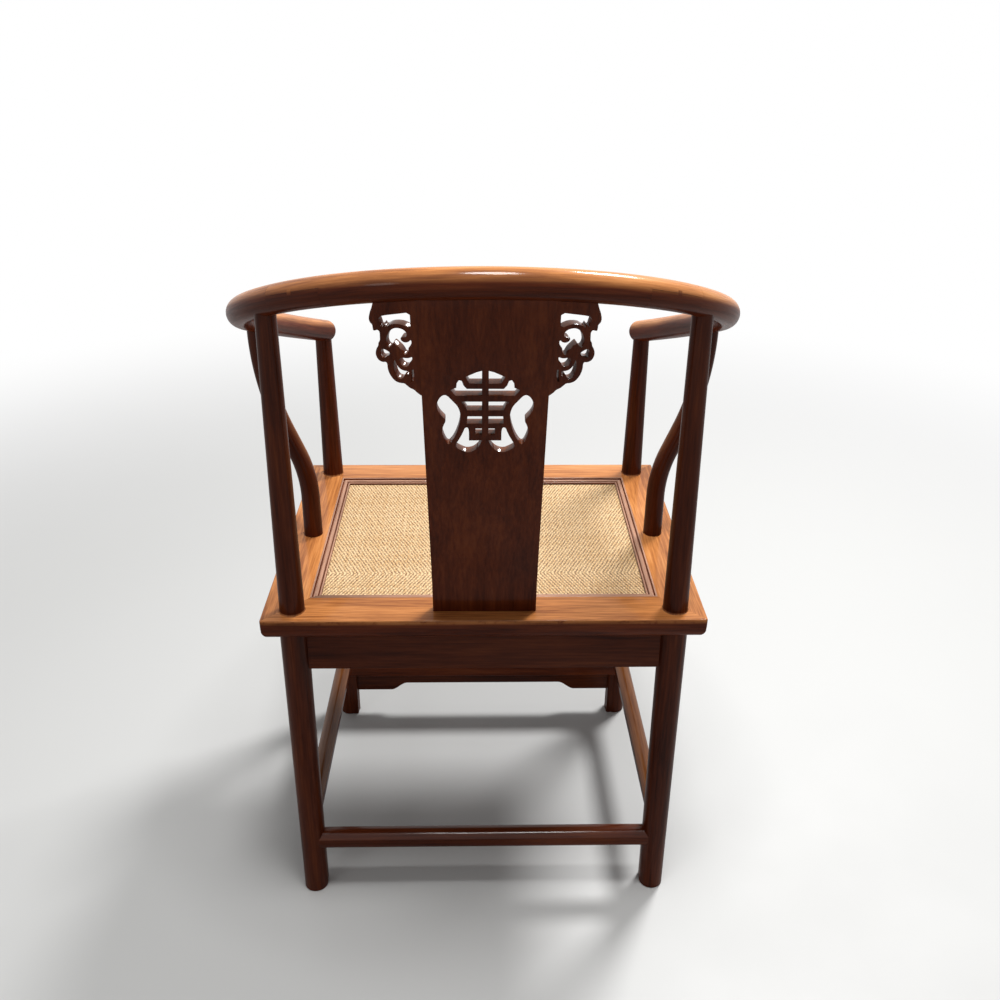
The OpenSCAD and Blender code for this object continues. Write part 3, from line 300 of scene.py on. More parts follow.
def loft(name, rings, grain, finish, node, sharp=SHARP, wear=None):
    """A closed skin of wood over rings of points, rows x points x 3: neighbouring rows are joined
    by quads and the first and last rows are closed with one face each. The value of wear and
    painted light is one number, or one for each point of a ring or for each row."""
    rows, count = rings.shape[:2]
    index = np.arange(rows * count).reshape(rows, count)
    right = np.roll(index, -1, 1)
    quads = np.stack([index[:-1], right[:-1], right[1:], index[1:]], -1).reshape(-1, 4).tolist()
    faces = quads + [index[0, ::-1].tolist(), index[-1].tolist()]
    verts = rings.reshape(-1, 3)
    mesh = new_mesh(name, verts, outward(verts, faces))
    if wear is not None:
        wear = np.broadcast_to(wear, (rows, count))
    finished(mesh, grain.reshape(-1, 3), wood(finish), node, wear)
    mesh.set_sharp_from_angle(angle=math.radians(sharp))


def mirrored(rings, side):
    """The rings on the sitter's left, or their mirror image across x = 0 on the right."""
    return rings * np.array([side, 1.0, 1.0])


def apart(number):
    """A place of its own in the wood for piece `number`, so that no two pieces share their grain."""
    return np.array([0.37, 0.113, 0.071]) * number


def both_sides(name, rings, grain, finish, node, first, **more):
    """A loft on the sitter's left and its mirror image on the right. The side's name goes into the
    {} of name and node, and first is the left piece's number in the wood."""
    for number, (side, sign) in enumerate(SIDES.items(), first):
        loft(name.format(side), mirrored(rings, sign), grain + apart(number), finish,
             node.format(side), **more)


# The rail's line


def shift(x, y, z):
    """A move as a 4 x 4 matrix."""
    m = np.eye(4)
    m[:3, 3] = (x, y, z)
    return m


def turned(i, j, angle):
    """A turn from axis i towards axis j as a 4 x 4 matrix."""
    m = np.eye(4)
    c, s = math.cos(angle), math.sin(angle)
    m[i, i], m[i, j], m[j, i], m[j, j] = c, -s, s, c
    return m


def along(start, radius, angle):
    """The frame that a step along an arc leads to: x runs along the arc and y points to its
    centre."""
    step = shift(radius * math.sin(angle), radius * (1 - math.cos(angle)), 0)
    return start @ step @ turned(0, 1, angle)


def rail_frames(rail):
    """Frames at the starts of the back, shoulder and arm stretches of the sitter's left side."""
    back = shift(0, SEAT_REAR + rail.behind, rail.height) @ turned(1, 2, math.pi + rail.slope)
    shoulder = along(back, rail.back_radius, rail.back_turn) @ turned(1, 2, rail.shoulder_roll)
    arm = along(shoulder, rail.shoulder_radius, rail.shoulder_turn) @ turned(1, 2, rail.arm_roll)
    return back, shoulder, arm


def rail_point(start, radius, distance):
    """The point of a stretch's line at a distance along it."""
    return along(start, radius, distance / radius)[:3, 3]


def rail_rows(start, radius, distances, profile, passed=0.0, scale=None):
    """Rings of a profile carried along an arc. At distance s the arc's point is
    (R sin(s/R), R - R cos(s/R), 0), and a profile point (u, v) lies u outwards and v along z.
    The grain runs as (passed + s, u, v)."""
    s = np.asarray(distances, float)[:, None]
    profile = np.broadcast_to(profile, (len(s), *np.shape(profile)[-2:]))
    if scale is not None:
        profile = profile * np.asarray(scale, float)[:, None, None]
    u, v = profile[..., 0], profile[..., 1]
    a = s / radius
    local = np.stack([(radius + u) * np.sin(a), radius - (radius + u) * np.cos(a), v], -1)
    grain = np.stack([passed + s + 0 * u, u, v], -1)
    return local @ start[:3, :3].T + start[:3, 3], grain


def rail_section(radius, keep, gap):
    """The rail's round (keep 0), or the half of it that a lap keeps: v is held below -gap (keep -1,
    the upper half) or above +gap (keep 1, the lower half)."""
    a = around(RAIL_POINTS)
    u, v = radius * np.cos(a), radius * np.sin(a)
    if keep < 0:
        v = np.minimum(v, -gap)
    elif keep > 0:
        v = np.maximum(v, gap)
    return np.stack([u, v], 1)


# Materials


class Nodes:
    """A short way to lay out the nodes of a material or a world and join them."""

    def __init__(self, owner):
        self.owner = owner
        owner.use_nodes = True
        self.tree = owner.node_tree
        self.shader = self.tree.nodes.get("Principled BSDF") or self.tree.nodes["Background"]

    def add(self, kind, **values):
        """A node of a kind, with its properties set."""
        node = self.tree.nodes.new(kind)
        for key, value in values.items():
            setattr(node, key, value)
        return node

    def feed(self, socket, value):
        """A number, colour or output on a socket."""
        if isinstance(value, bpy.types.NodeSocket):
            self.tree.links.new(value, socket)
        else:
            socket.default_value = value

    def fill(self, node, **values):
        """Numbers, colours or outputs on a node's sockets, with _ for a space in their names."""
        for key, value in values.items():
            self.feed(node.inputs[key.replace("_", " ")], value)
        return node

    def in_order(self, node, values):
        """Numbers or outputs on a node's sockets, in their order."""
        for socket, value in zip(node.inputs, values):
            self.feed(socket, value)
        return node

    def attribute(self, name):
        """The outputs of one of the mesh's own attributes."""
        return self.add("ShaderNodeAttribute", attribute_name=name).outputs

    def parts(self, vector):
        """The x, y and z of a vector."""
        return self.in_order(self.add("ShaderNodeSeparateXYZ"), [vector]).outputs

    def math(self, operation, *values, **settings):
        """One step of arithmetic."""
        node = self.add("ShaderNodeMath", operation=operation, **settings)
        return self.in_order(node, values).outputs[0]

    def vector(self, operation, *values):
        """One step of vector arithmetic."""
        node = self.in_order(self.add("ShaderNodeVectorMath", operation=operation), values)
        return node.outputs["Value" if operation == "LENGTH" else "Vector"]

    def noise(self, vector, scale, detail=4.0, rough=0.55, distortion=0.0):
        """Noise from 0 to 1."""
        node = self.fill(self.add("ShaderNodeTexNoise"), Vector=vector, Scale=scale, Detail=detail,
                         Roughness=rough, Distortion=distortion)
        return node.outputs["Fac"]

    def fade(self, value, low, high, to_low=0.0, to_high=1.0):
        """A value carried smoothly from one range to another."""
        node = self.add("ShaderNodeMapRange", interpolation_type="SMOOTHSTEP")
        self.fill(node, Value=value, From_Min=low, From_Max=high, To_Min=to_low, To_Max=to_high)
        return node.outputs["Result"]

    def blend(self, factor, a, b):
        """Two colours mixed by a factor. A Mix node's sockets 6 and 7 hold the colours and its
        output 2 the mix."""
        node = self.fill(self.add("ShaderNodeMix", data_type="RGBA"), Factor=factor)
        for socket, value in ((node.inputs[6], a), (node.inputs[7], b)):
            self.feed(socket, value if isinstance(value, bpy.types.NodeSocket) else (*value, 1.0))
        return node.outputs[2]

    def bump(self, height, distance, strength):
        """A bump from a height."""
        node = self.add("ShaderNodeBump")
        self.fill(node, Distance=distance, Strength=strength, Height=height)
        return node.outputs["Normal"]


def tone_ramp(n, value, tones, depth, spread):
    """Three tones laid along a value, dark lines, body and pale bands, spread to either side of its
    middle. Depth under 1 makes them all darker."""
    ramp = n.fill(n.add("ShaderNodeValToRGB"), Fac=value)
    stops = ramp.color_ramp.elements
    stops.new(MID_TONE)
    places = (MID_TONE - spread, MID_TONE, MID_TONE + PALE_REACH * spread)
    for stop, place, tone in zip(stops, places, tones):
        stop.position, stop.color = place, (*(c * depth for c in tone), 1.0)
    return ramp.outputs["Color"]


# Noise in the wood: fineness along and across the fibres, then detail, roughness and distortion.
SLOW = (3.0, 16.0, 2.0)
BANDS = (5.0, 75.0, 3.0, 0.55, 0.8)
FIGURE = (1.9, 30.0, 1.5, 0.4, 0.8)
STREAKS = (15.0, 290.0, 5.0, 0.65)
PORES = (55.0, 1100.0, 2.0)
RUB_AND_HIGHLIGHT_SCALE, SCUFF_SCALE = 95.0, 240.0
# How much of the slow noise, the bands and the streaks goes into the tone, where its middle lies,
# how far the deep and the faded and lit tones spread to the dark side, and how much further to the pale.
SLOW_SHARE, BAND_SHARE, STREAK_SHARE = 0.34, 0.30, 0.36
MID_TONE, DEEP_SPREAD, FADED_AND_LIT_SPREAD, PALE_REACH = 0.52, 0.14, 0.12, 1.15
# How far veins and pores go towards their darkest, and that and the painted shade on an
# underside towards dark grain.
VEIN_SHARE, PORE_SHARE, LINE_DARKNESS, UNDERSIDE_DARKNESS = 0.34, 0.20, 0.5, 0.55
# Ranges for Nodes.fade: from and to, and the values there where they aren't 0 and 1.
VEIN_FADE = (0.0, 0.020, 1.0, 0.0)
PORE_FADE = (0.60, 0.72)
UNEVEN_FADE = (0.3, 0.7, -0.08, 0.08)
TOP_FADE = (0.14, 0.68)
UNDERSIDE_FADE = (-0.55, 0.16, 0.62, 0.0)
POLISH_FADE = (0.15, 0.75)
RUB_AND_HIGHLIGHT_FADE = (0.22, 0.50)
SCUFF_FADE = (0.60, 0.74, 0.0, 0.16)
FIBRE_FADE = (0.2, 0.8, 0.42, 0.32)
# Height in metres and strength of the bumps in the wood and in the lacquer.
WOOD_RELIEF, LACQUER_RELIEF = (0.00010, 0.35), (0.00010, 0.30)
# How each wood departs from the lacquered wood of the rail, the seat frame and the footrest.
WOODS = {
    "lacquered_wood": {},
    # The shaded wood is the same wood painted darker, standing in for shade on the legs, posts, aprons
    # and stretchers.
    "shaded_wood": {"depth": 0.64},
    "calm_wood": {"depth": 0.92, "calm": 0.15, "polish": 6.0},
    "strip_wood": {"calm": 0.2, "strip_tones": (0.4, 1.0, 1.5)},
    "plain_wood": {"place": "object", "depth": 0.95, "calm": 0.6},
}


def lacquered_wood(name, colours, place="grain", depth=1.0, calm=0.0, strip_tones=(), polish=3.0):
    """Dense red-brown hardwood under clear lacquer. The grain's x runs along the fibres. Bands,
    streaks and pores are noise drawn out along x. Veins are the thin places where a slow noise
    passes its middle value. Faces that look up are paler and more orange, partly faded by hands and
    daylight and partly painted light from above, and they are glossier; faces that look down are
    painted darker as shade. A wear and light value over 0 adds a paler edge, part wear and part
    painted highlight, and one under 0 takes the painted top light off a piece that stands in shade.
    Depth under 1 darkens all tones, and calm, from 0 to 1, evens out the grain. Strip tones are
    shares of the strip colour, in place of the faded and lit colours. Polish is how many times as
    much lacquer a face that looks up has."""
    n = Nodes(bpy.data.materials.new(name))
    if place == "grain":
        at = n.attribute("grain")["Vector"]
    else:
        at = n.add("ShaderNodeTexCoord").outputs["Object"]

    def drawn_out(along, across, *settings):
        """Noise drawn out along the fibres."""
        return n.noise(n.vector("MULTIPLY", at, (along, across, across)), 1.0, *settings)

    slow, bands, figure, streaks = (drawn_out(*layer) for layer in (SLOW, BANDS, FIGURE, STREAKS))
    veins = n.fade(n.math("ABSOLUTE", n.math("SUBTRACT", figure, 0.5)), *VEIN_FADE)
    pores = n.fade(drawn_out(*PORES), *PORE_FADE)
    mixed = n.math("MULTIPLY_ADD", bands, BAND_SHARE, n.math("MULTIPLY", slow, SLOW_SHARE))
    mixed = n.math("MULTIPLY_ADD", streaks, STREAK_SHARE, mixed)
    wide = 1.0 / (1.0 - calm)
    deep_tones = (colours.dark, colours.body, colours.light)
    faded_and_lit_tones = (colours.faded_and_lit_dark, colours.faded_and_lit, colours.faded_and_lit_pale)
    if strip_tones:
        faded_and_lit_tones = [[tone * c for c in colours.strip] for tone in strip_tones]
    deep = tone_ramp(n, mixed, deep_tones, depth, DEEP_SPREAD * wide)
    faded_and_lit = tone_ramp(n, mixed, faded_and_lit_tones, depth, FADED_AND_LIT_SPREAD * wide)

    up = n.parts(n.add("ShaderNodeNewGeometry").outputs["Normal"])["Z"]
    # Painted light: faces that look up take the paler, more orange tones, partly faded by hands and
    # daylight and partly painted light from above.
    handled_and_lit = n.fade(n.math("ADD", up, n.fade(slow, *UNEVEN_FADE)), *TOP_FADE)
    wear = n.attribute("wear")["Fac"]
    # A wear and light value over 0 paints a paler rubbed edge, part wear and part painted highlight.
    rubbed_and_lit = n.math("MULTIPLY", wear, n.fade(n.noise(at, RUB_AND_HIGHLIGHT_SCALE, 3.0), *RUB_AND_HIGHLIGHT_FADE))
    # One under 0 takes the painted top light off a piece that stands in shade, as painted shade.
    handled_and_lit_unshaded = n.math("ADD", handled_and_lit, n.math("MINIMUM", wear, 0.0))
    # Painted shade: faces that look down go towards dark grain.
    shaded = n.blend(UNDERSIDE_DARKNESS, deep, colours.dark)
    deep = n.blend(n.fade(up, *UNDERSIDE_FADE), deep, shaded)
    colour = n.blend(n.math("MAXIMUM", handled_and_lit_unshaded, rubbed_and_lit, use_clamp=True), deep, faded_and_lit)
    vein_lines, pore_lines = n.math("MULTIPLY", veins, VEIN_SHARE), n.math("MULTIPLY", pores, PORE_SHARE)
    lines = n.math("MAXIMUM", vein_lines, pore_lines)
    colour = n.blend(lines, colour, n.blend(LINE_DARKNESS, colour, colours.dark))

    scuffs = n.fade(n.noise(at, SCUFF_SCALE, 4.0, 0.7), *SCUFF_FADE)
    fibres = n.math("SUBTRACT", n.math("MULTIPLY", streaks, 0.5), n.math("MULTIPLY", pores, 0.8))
    lacquer = n.math("ADD", scuffs, n.math("MULTIPLY", streaks, 0.25))
    n.fill(
        n.shader,
        Base_Color=colour,
        Roughness=n.math("ADD", n.fade(streaks, *FIBRE_FADE), scuffs),
        Normal=n.bump(fibres, *WOOD_RELIEF),
        Coat_Normal=n.bump(lacquer, *LACQUER_RELIEF),
        Specular_IOR_Level=0.02,
        Coat_Weight=n.fade(up, *POLISH_FADE, colours.gloss, polish * colours.gloss),
        Coat_Roughness=0.12,
    )
    return n.owner


def wood(name):
    """The wood of that name, made the first time that it is asked for."""
    made = bpy.data.materials.get(name)
    return made or lacquered_wood(name, bpy.context.scene.chair_colours, **WOODS[name])


# How far the mat's strands stray from their lines, and how fine its noises are.
STRAY = (0.0034, 0.0040, 0.0)
STRAY_SCALE, PATCH_SCALE, SLANT_SCALE, SPLIT_SCALE = 48.0, 11.0, 170.0, 1900.0
# Ranges for Nodes.fade.
END_FADE = (0.55, 0.95, 0.0, 0.7)
SIDE_FADE = (0.30, 0.80, 0.30, 0.0)
SLANT_FADE = (0.30, 0.90)
SLANT_PATCH_FADE = (0.32, 0.62, 0.35, 1.0)
SPLIT_FADE = (0.40, 0.75, 0.0, 0.30)
# Height in metres and strength of the strands' bump.
STRAND_RELIEF = (0.0007, 0.7)
# Tells the numbers of the strands that run across from those of the others.
ACROSS_NUMBERS = 517.0


def woven_mat(colours, strand, weft):
    """Split strands woven two over, two under, so that the lines of floats run out from the weave's
    middle towards the corners. With x and y the sizes of the place over the widths of the strands
    that cross there, and c, j their whole parts, the strand along y lies on top where
    (c - j) mod 4 < 2. The strand on top is as high as sqrt(1 - (2f-1)^2) over its width, with f the
    share of it passed, times 1 - (t-1)^4 over its float, t from 0 to 2. Shadow lies at the strands'
    sides and ends, and along the slanting lines where x - y is even."""
    n = Nodes(bpy.data.materials.new("woven_mat"))
    at = n.attribute("grain")["Vector"]
    stray = n.fill(n.add("ShaderNodeTexNoise"), Vector=at, Scale=STRAY_SCALE).outputs["Color"]
    swing = n.vector("MULTIPLY", n.vector("SUBTRACT", stray, (0.5, 0.5, 0.5)), STRAY)
    counted = n.vector("MULTIPLY", n.vector("ADD", at, swing), (1 / strand, 1 / weft, 1.0))
    parts = n.parts(counted)
    x, y = n.math("ABSOLUTE", parts["X"]), n.math("ABSOLUTE", parts["Y"])
    c, j = n.math("FLOOR", x), n.math("FLOOR", y)
    over = n.math("LESS_THAN", n.math("FLOORED_MODULO", n.math("SUBTRACT", c, j), 4.0), 1.5)

    def one_of(a, b):
        """a where the strand along y is on top, b where it isn't."""
        return n.math("MULTIPLY_ADD", over, n.math("SUBTRACT", a, b), b)

    across = n.math("MULTIPLY_ADD", n.math("FRACT", one_of(x, y)), 2.0, -1.0)
    left_over = n.math("SUBTRACT", 1.0, n.math("MULTIPLY", across, across))
    round_back = n.math("SQRT", n.math("MAXIMUM", left_over, 0.0))
    along_y = n.math("ADD", n.math("SUBTRACT", c, y), 1.0)
    along_x = n.math("ADD", n.math("SUBTRACT", x, j), 2.0)
    float_at = n.math("FLOORED_MODULO", one_of(along_y, along_x), 4.0)
    from_middle = n.math("ABSOLUTE", n.math("SUBTRACT", float_at, 1.0))
    dip = n.math("SUBTRACT", 1.0, n.math("POWER", from_middle, 4.0))
    height = n.math("MULTIPLY", round_back, n.math("MAXIMUM", dip, 0.0))

    number = one_of(c, n.math("ADD", j, ACROSS_NUMBERS))
    number = n.fill(n.add("ShaderNodeCombineXYZ"), X=number).outputs[0]
    random = n.fill(n.add("ShaderNodeTexWhiteNoise", noise_dimensions="3D"), Vector=number)
    patches = n.math("MULTIPLY_ADD", n.noise(at, PATCH_SCALE, 3.0), 0.7, -0.20)
    age = n.math("MULTIPLY_ADD", random.outputs["Value"], 0.5, patches)
    straw = n.blend(n.fade(age, 0.0, 1.0), colours.straw, colours.straw_dark)
    splits = n.noise(n.vector("MULTIPLY", at, (SPLIT_SCALE, SPLIT_SCALE, 1.0)), 1.0, 2.0)
    straw = n.blend(n.fade(splits, *SPLIT_FADE), straw, colours.straw_dark)

    ends, sides = n.fade(from_middle, *END_FADE), n.fade(round_back, *SIDE_FADE)
    line_at = n.math("FLOORED_MODULO", n.math("SUBTRACT", x, y), 2.0)
    line = n.fade(n.math("ABSOLUTE", n.math("SUBTRACT", line_at, 1.0)), *SLANT_FADE)
    line = n.math("MULTIPLY", line, n.fade(n.noise(at, SLANT_SCALE, 2.0), *SLANT_PATCH_FADE))
    shadow = n.math("MAXIMUM", n.math("MAXIMUM", ends, sides), line)
    n.fill(
        n.shader,
        Base_Color=n.blend(shadow, straw, colours.gap),
        Roughness=0.55,
        Specular_IOR_Level=0.15,
        Sheen_Weight=0.04,
        Normal=n.bump(height, *STRAND_RELIEF),
    )
    return n.owner


# Ranges for Nodes.fade.
FLOOR_FADE = (0.3, 0.7, 0.50, 0.62)
HORIZON_FADE = (1.0, 3.0)


def pale_floor(colours):
    """Plain pale floor with a faint mottle in its roughness. It turns into the white background
    between 1 and 3 m from its middle, for rays that see a background."""
    n = Nodes(bpy.data.materials.new("pale_floor"))
    at = n.add("ShaderNodeTexCoord").outputs["Object"]
    rough = n.fade(n.noise(at, 3.0), *FLOOR_FADE)
    n.fill(n.shader, Base_Color=(*colours.floor, 1.0), Roughness=rough)
    white = n.add("ShaderNodeEmission").outputs[0]
    seen = n.math("MULTIPLY", n.fade(n.vector("LENGTH", at), *HORIZON_FADE), sees_background(n))
    mixer = n.in_order(n.add("ShaderNodeMixShader"), (seen, n.shader.outputs[0], white))
    n.fill(n.tree.nodes["Material Output"], Surface=mixer.outputs[0])
    return n.owner


def sees_background(n):
    """1 for camera, glossy and transmission rays, 0 for the rays that light the object."""
    path = n.add("ShaderNodeLightPath").outputs
    seen = n.math("MAXIMUM", path["Is Camera Ray"], path["Is Glossy Ray"])
    return n.math("MAXIMUM", seen, path["Is Transmission Ray"])


# Operators


class ARMCHAIR_OT_crest_rail(bpy.types.Operator):
    """Five pieces of the horseshoe rail, joined by half laps"""

    bl_idname = "armchair.crest_rail"
    bl_label = "Crest rail"

    def execute(self, context):
        rail = context.scene.chair_rail
        r, gap, lap = rail.radius, rail.joint_gap / 2, rail.lap
        back, shoulder, arm = rail_frames(rail)
        whole, upper, lower = (rail_section(r, keep, gap) for keep in (0, -1, 1))

        def stretch(start, radius, low, high, profile, passed=0.0):
            """Rings along part of an arc, RAIL_STEP apart or closer."""
            count = max(2, math.ceil((high - low) / RAIL_STEP))
            return rail_rows(start, radius, np.linspace(low, high, count), profile, passed)

        def joined(*parts):
            """The rings and the grain of several parts, one after another."""
            return [np.concatenate(rows) for rows in zip(*parts)]

        half, reach = rail.back_radius * rail.back_turn, rail.shoulder_radius * rail.shoulder_turn
        rings, grain = joined(
            stretch(back, rail.back_radius, -half + gap, -half + lap - gap, upper),
            stretch(back, rail.back_radius, -half + lap, half - lap, whole),
            stretch(back, rail.back_radius, half - lap + gap, half - gap, upper),
        )
        loft("crest_rail_middle", rings, grain, "lacquered_wood", "crest_rail_back")
        bend = joined(
            stretch(back, rail.back_radius, half - lap + gap, half, lower),
            stretch(shoulder, rail.shoulder_radius, gap, reach - lap, whole, half),
            stretch(shoulder, rail.shoulder_radius, reach - lap + gap, reach - gap, upper, half),
        )
        end, bow = rail.end_radius, np.linspace(0, math.pi / 2, RAIL_END_ROWS)
        tip = rail.arm_length - end
        hand = joined(
            stretch(shoulder, rail.shoulder_radius, reach - lap + gap, reach, lower, half),
            stretch(arm, rail.arm_radius, gap, tip, whole, half + reach),
            rail_rows(arm, rail.arm_radius, tip + end * np.sin(bow), whole, half + reach,
                      (r - end + end * np.cos(bow)) / r),
        )
        # The grain of each piece lies a little aside from that of the piece before.
        for side, sign in SIDES.items():
            for part, node, (rings, grain), offset in (
                ("bend", "shoulder", bend, (0, 0.002, 0.001)),
                ("hand", "arm", hand, (0, 0.001, 0.002)),
            ):
                loft(f"crest_rail_{side}_{part}", mirrored(rings, sign), mirrored(grain, sign) + offset,
                     "lacquered_wood", f"crest_rail_{side}_{node}")
        return {"FINISHED"}


def chair_lines(context):
    """Feet and tops of the rear and front posts of the sitter's left side, and which way along y
    leads to the seat's inside."""
    rail, posts = context.scene.chair_rail, context.scene.chair_posts
    _, shoulder, arm = rail_frames(rail)
    rear_foot = np.array([SEAT_HALF - posts.rear_foot_side, SEAT_REAR - posts.rear_foot_in, 0])
    front_foot = np.array([SEAT_HALF - posts.front_foot_side, SEAT_FRONT + posts.front_foot_in, 0])
    rear_top = rail_point(shoulder, rail.shoulder_radius, rail.post_at)
    front_top = rail_point(arm, rail.arm_radius, rail.arm_length - rail.front_post_in)
    return {"rear": (rear_foot, rear_top, -1), "front": (front_foot, front_top, 1)}


def at_height(line, z):
    """The point of a post's line at a height."""
    foot, top, _ = line
    return foot + (top - foot) * (z - foot[2]) / (top[2] - foot[2])


class ARMCHAIR_OT_legs(bpy.types.Operator):
    """Four legs, each one timber with its post: round, with a square inner corner under the seat"""

    bl_idname = "armchair.legs"
    bl_label = "Legs and posts"

    def execute(self, context):
        posts = context.scene.chair_posts
        a = around(LEG_POINTS)
        squared = np.abs(np.cos(a)) ** SQUARENESS + np.abs(np.sin(a)) ** SQUARENESS
        square = posts.leg_square / squared ** (1 / SQUARENESS)
        above, wider, rubbed_and_lit = np.array(FLARE).T
        at_seat = SEAT_TOP + above
        low = np.array([0.0, FOOT_EASE, *np.linspace(0.01, SEAT_UNDER, LEG_ROWS)])
        for number, (end, (foot, top, inward)) in enumerate(chair_lines(context).items()):
            corner = (np.cos(a) < 0) & (np.sin(a) * inward > 0)
            high = np.linspace(SEAT_UNDER, top[2] - POST_SHORT, POST_ROWS)
            high = np.sort(np.concatenate([high, at_seat]))
            leg_r = posts.foot_radius + (posts.leg_radius - posts.foot_radius) * low / SEAT_UNDER
            leg_rho = np.maximum(corner * square, leg_r[:, None])
            leg_rho[0] -= FOOT_EASE
            share_up = (high - SEAT_UNDER) / (top[2] - SEAT_UNDER)
            post_r = posts.post_radius + (posts.post_top_radius - posts.post_radius) * share_up
            post_r = post_r + np.interp(high, at_seat, wider, left=0.0)
            rho = np.concatenate([leg_rho, np.repeat(post_r[:, None], len(a), 1)])
            z = np.concatenate([low, high])
            middle = foot + (top - foot) * (z / top[2])[:, None]
            u, v = rho * np.cos(a), rho * np.sin(a)
            rings = np.stack([middle[:, :1] + u, middle[:, 1:2] + v, z[:, None] + 0 * u], -1)
            grain = np.stack([z[:, None] + 0 * u, u, v], -1)
            # A paler ring round the post's foot on the seat, part rubbed wear and part painted
            # highlight.
            wear = np.interp(z, at_seat, rubbed_and_lit, left=0.0)[:, None]
            both_sides(end + "_{}_leg", rings, grain, "shaded_wood", end + "_{}_leg_post",
                       6 + 2 * number, wear=wear)
        return {"FINISHED"}


class ARMCHAIR_OT_side_posts(bpy.types.Operator):
    """Two side posts, upright at both ends and leaning outwards between two bends"""

    bl_idname = "armchair.side_posts"
    bl_label = "Side posts"

    def execute(self, context):
        posts, rail = context.scene.chair_posts, context.scene.chair_rail
        _, _, arm = rail_frames(rail)
        top = rail_point(arm, rail.arm_radius, rail.side_post_at)
        foot = np.array([SEAT_HALF - posts.side_foot_side, SEAT_REAR - posts.side_foot_in, SEAT_TOP])
        run = top - foot
        heading = math.atan2(run[1], run[0])
        distance = math.hypot(run[0], run[1])
        lean, low_r, high_r = posts.side_lean, posts.side_low_radius, posts.side_high_radius
        straight = (distance - (low_r + high_r) * (1 - math.cos(lean))) / math.sin(lean)
        lengths = [posts.side_rise, low_r * lean, straight, high_r * lean, SIDE_POST_TOP]
        marks = np.concatenate([[0], np.cumsum(lengths)])
        s = np.linspace(0, marks[-1], SIDE_POST_ROWS)
        leans = np.interp(s, marks, [0, 0, lean, lean, 0, 0])
        ds = np.diff(s, prepend=0)
        mid = (leans + np.concatenate([[0], leans[:-1]])) / 2
        out, up = np.cumsum(np.sin(mid) * ds), np.cumsum(np.cos(mid) * ds)
        out *= distance / out[-1]
        keep = foot[2] + up < top[2]
        s, leans, out, up = s[keep], leans[keep], out[keep], up[keep]
        radius = np.interp(s, [0, s[-1]], [posts.side_radius, posts.side_top_radius])
        a = around(SIDE_POST_POINTS)
        u, v = radius[:, None] * np.cos(a), radius[:, None] * np.sin(a)
        across = out[:, None] + u * np.cos(leans)[:, None]
        rings = np.stack([
            foot[0] + across * math.cos(heading) - v * math.sin(heading),
            foot[1] + across * math.sin(heading) + v * math.cos(heading),
            foot[2] + up[:, None] - u * np.sin(leans)[:, None],
        ], -1)
        grain = np.stack([s[:, None] + 0 * u, u, v], -1)
        both_sides("{}_bent_post", rings, grain, "shaded_wood", "{}_side_post", 10)
        return {"FINISHED"}


def mitred(profile, half, slope, corner, along_x, outer, sign, top):
    """Rings of a mitred member. The profile's x runs inwards and its y up. A ring at step d from
    the mitre lies at half - slope x - d along the member, and near the seat's corner x is held
    outside a circle of the corner's radius."""
    x, z = profile[:, 0], profile[:, 1]
    near = np.array(CORNER_ROWS) * corner
    reach = np.concatenate([near, np.linspace(corner, half, MEMBER_ROWS)[1:]])
    shrink = np.clip((half - reach) / (half - corner), 0, 1)[:, None]
    end = slope * x * shrink + reach[:, None]
    clip = corner * (1 - math.sqrt(0.5))
    inset = np.maximum(x, 0)
    if corner > 0:
        d = np.clip(end, clip, corner)
        inset = np.maximum(x, corner - np.sqrt(np.maximum(corner**2 - (corner - d) ** 2, 0)))
        end = np.maximum(end, clip)
    inset = np.broadcast_to(inset, end.shape)
    place = half - end
    place = np.concatenate([place, -place[-2::-1]])
    inset = np.concatenate([inset, inset[-2::-1]])
    height = np.broadcast_to(z, place.shape) + top
    side = outer - sign * inset
    rings = np.stack([place, side, height] if along_x else [side, place, height], -1)
    return rings, np.stack([place, inset, height], -1)


def frame_profile(seat, width, depth):
    """Section of a seat frame member and its paler arris, part wear and part painted highlight: an
    arris, an upright fillet, and a long round x = a (1 - (1 - t^p)^(1/p)) down to the flat bottom,
    with t the share of its height passed."""
    t = np.sin(np.linspace(0, math.pi / 2, MOULDING_POINTS))
    p = seat.fullness
    curve = seat.moulding * (1 - np.maximum(1 - t**p, 0) ** (1 / p))
    drop = seat.fillet + (depth - seat.fillet) * t
    profile = np.concatenate([
        arc((seat.arris, -seat.arris), seat.arris, 90, 180, 6),
        np.stack([curve, -drop], 1),
        [[width, -depth], [width, -INNER_EASE], [width - INNER_EASE, 0.0]],
    ])
    return profile, np.interp(np.arange(len(profile)), *ARRIS_WEAR_AND_HIGHLIGHT)


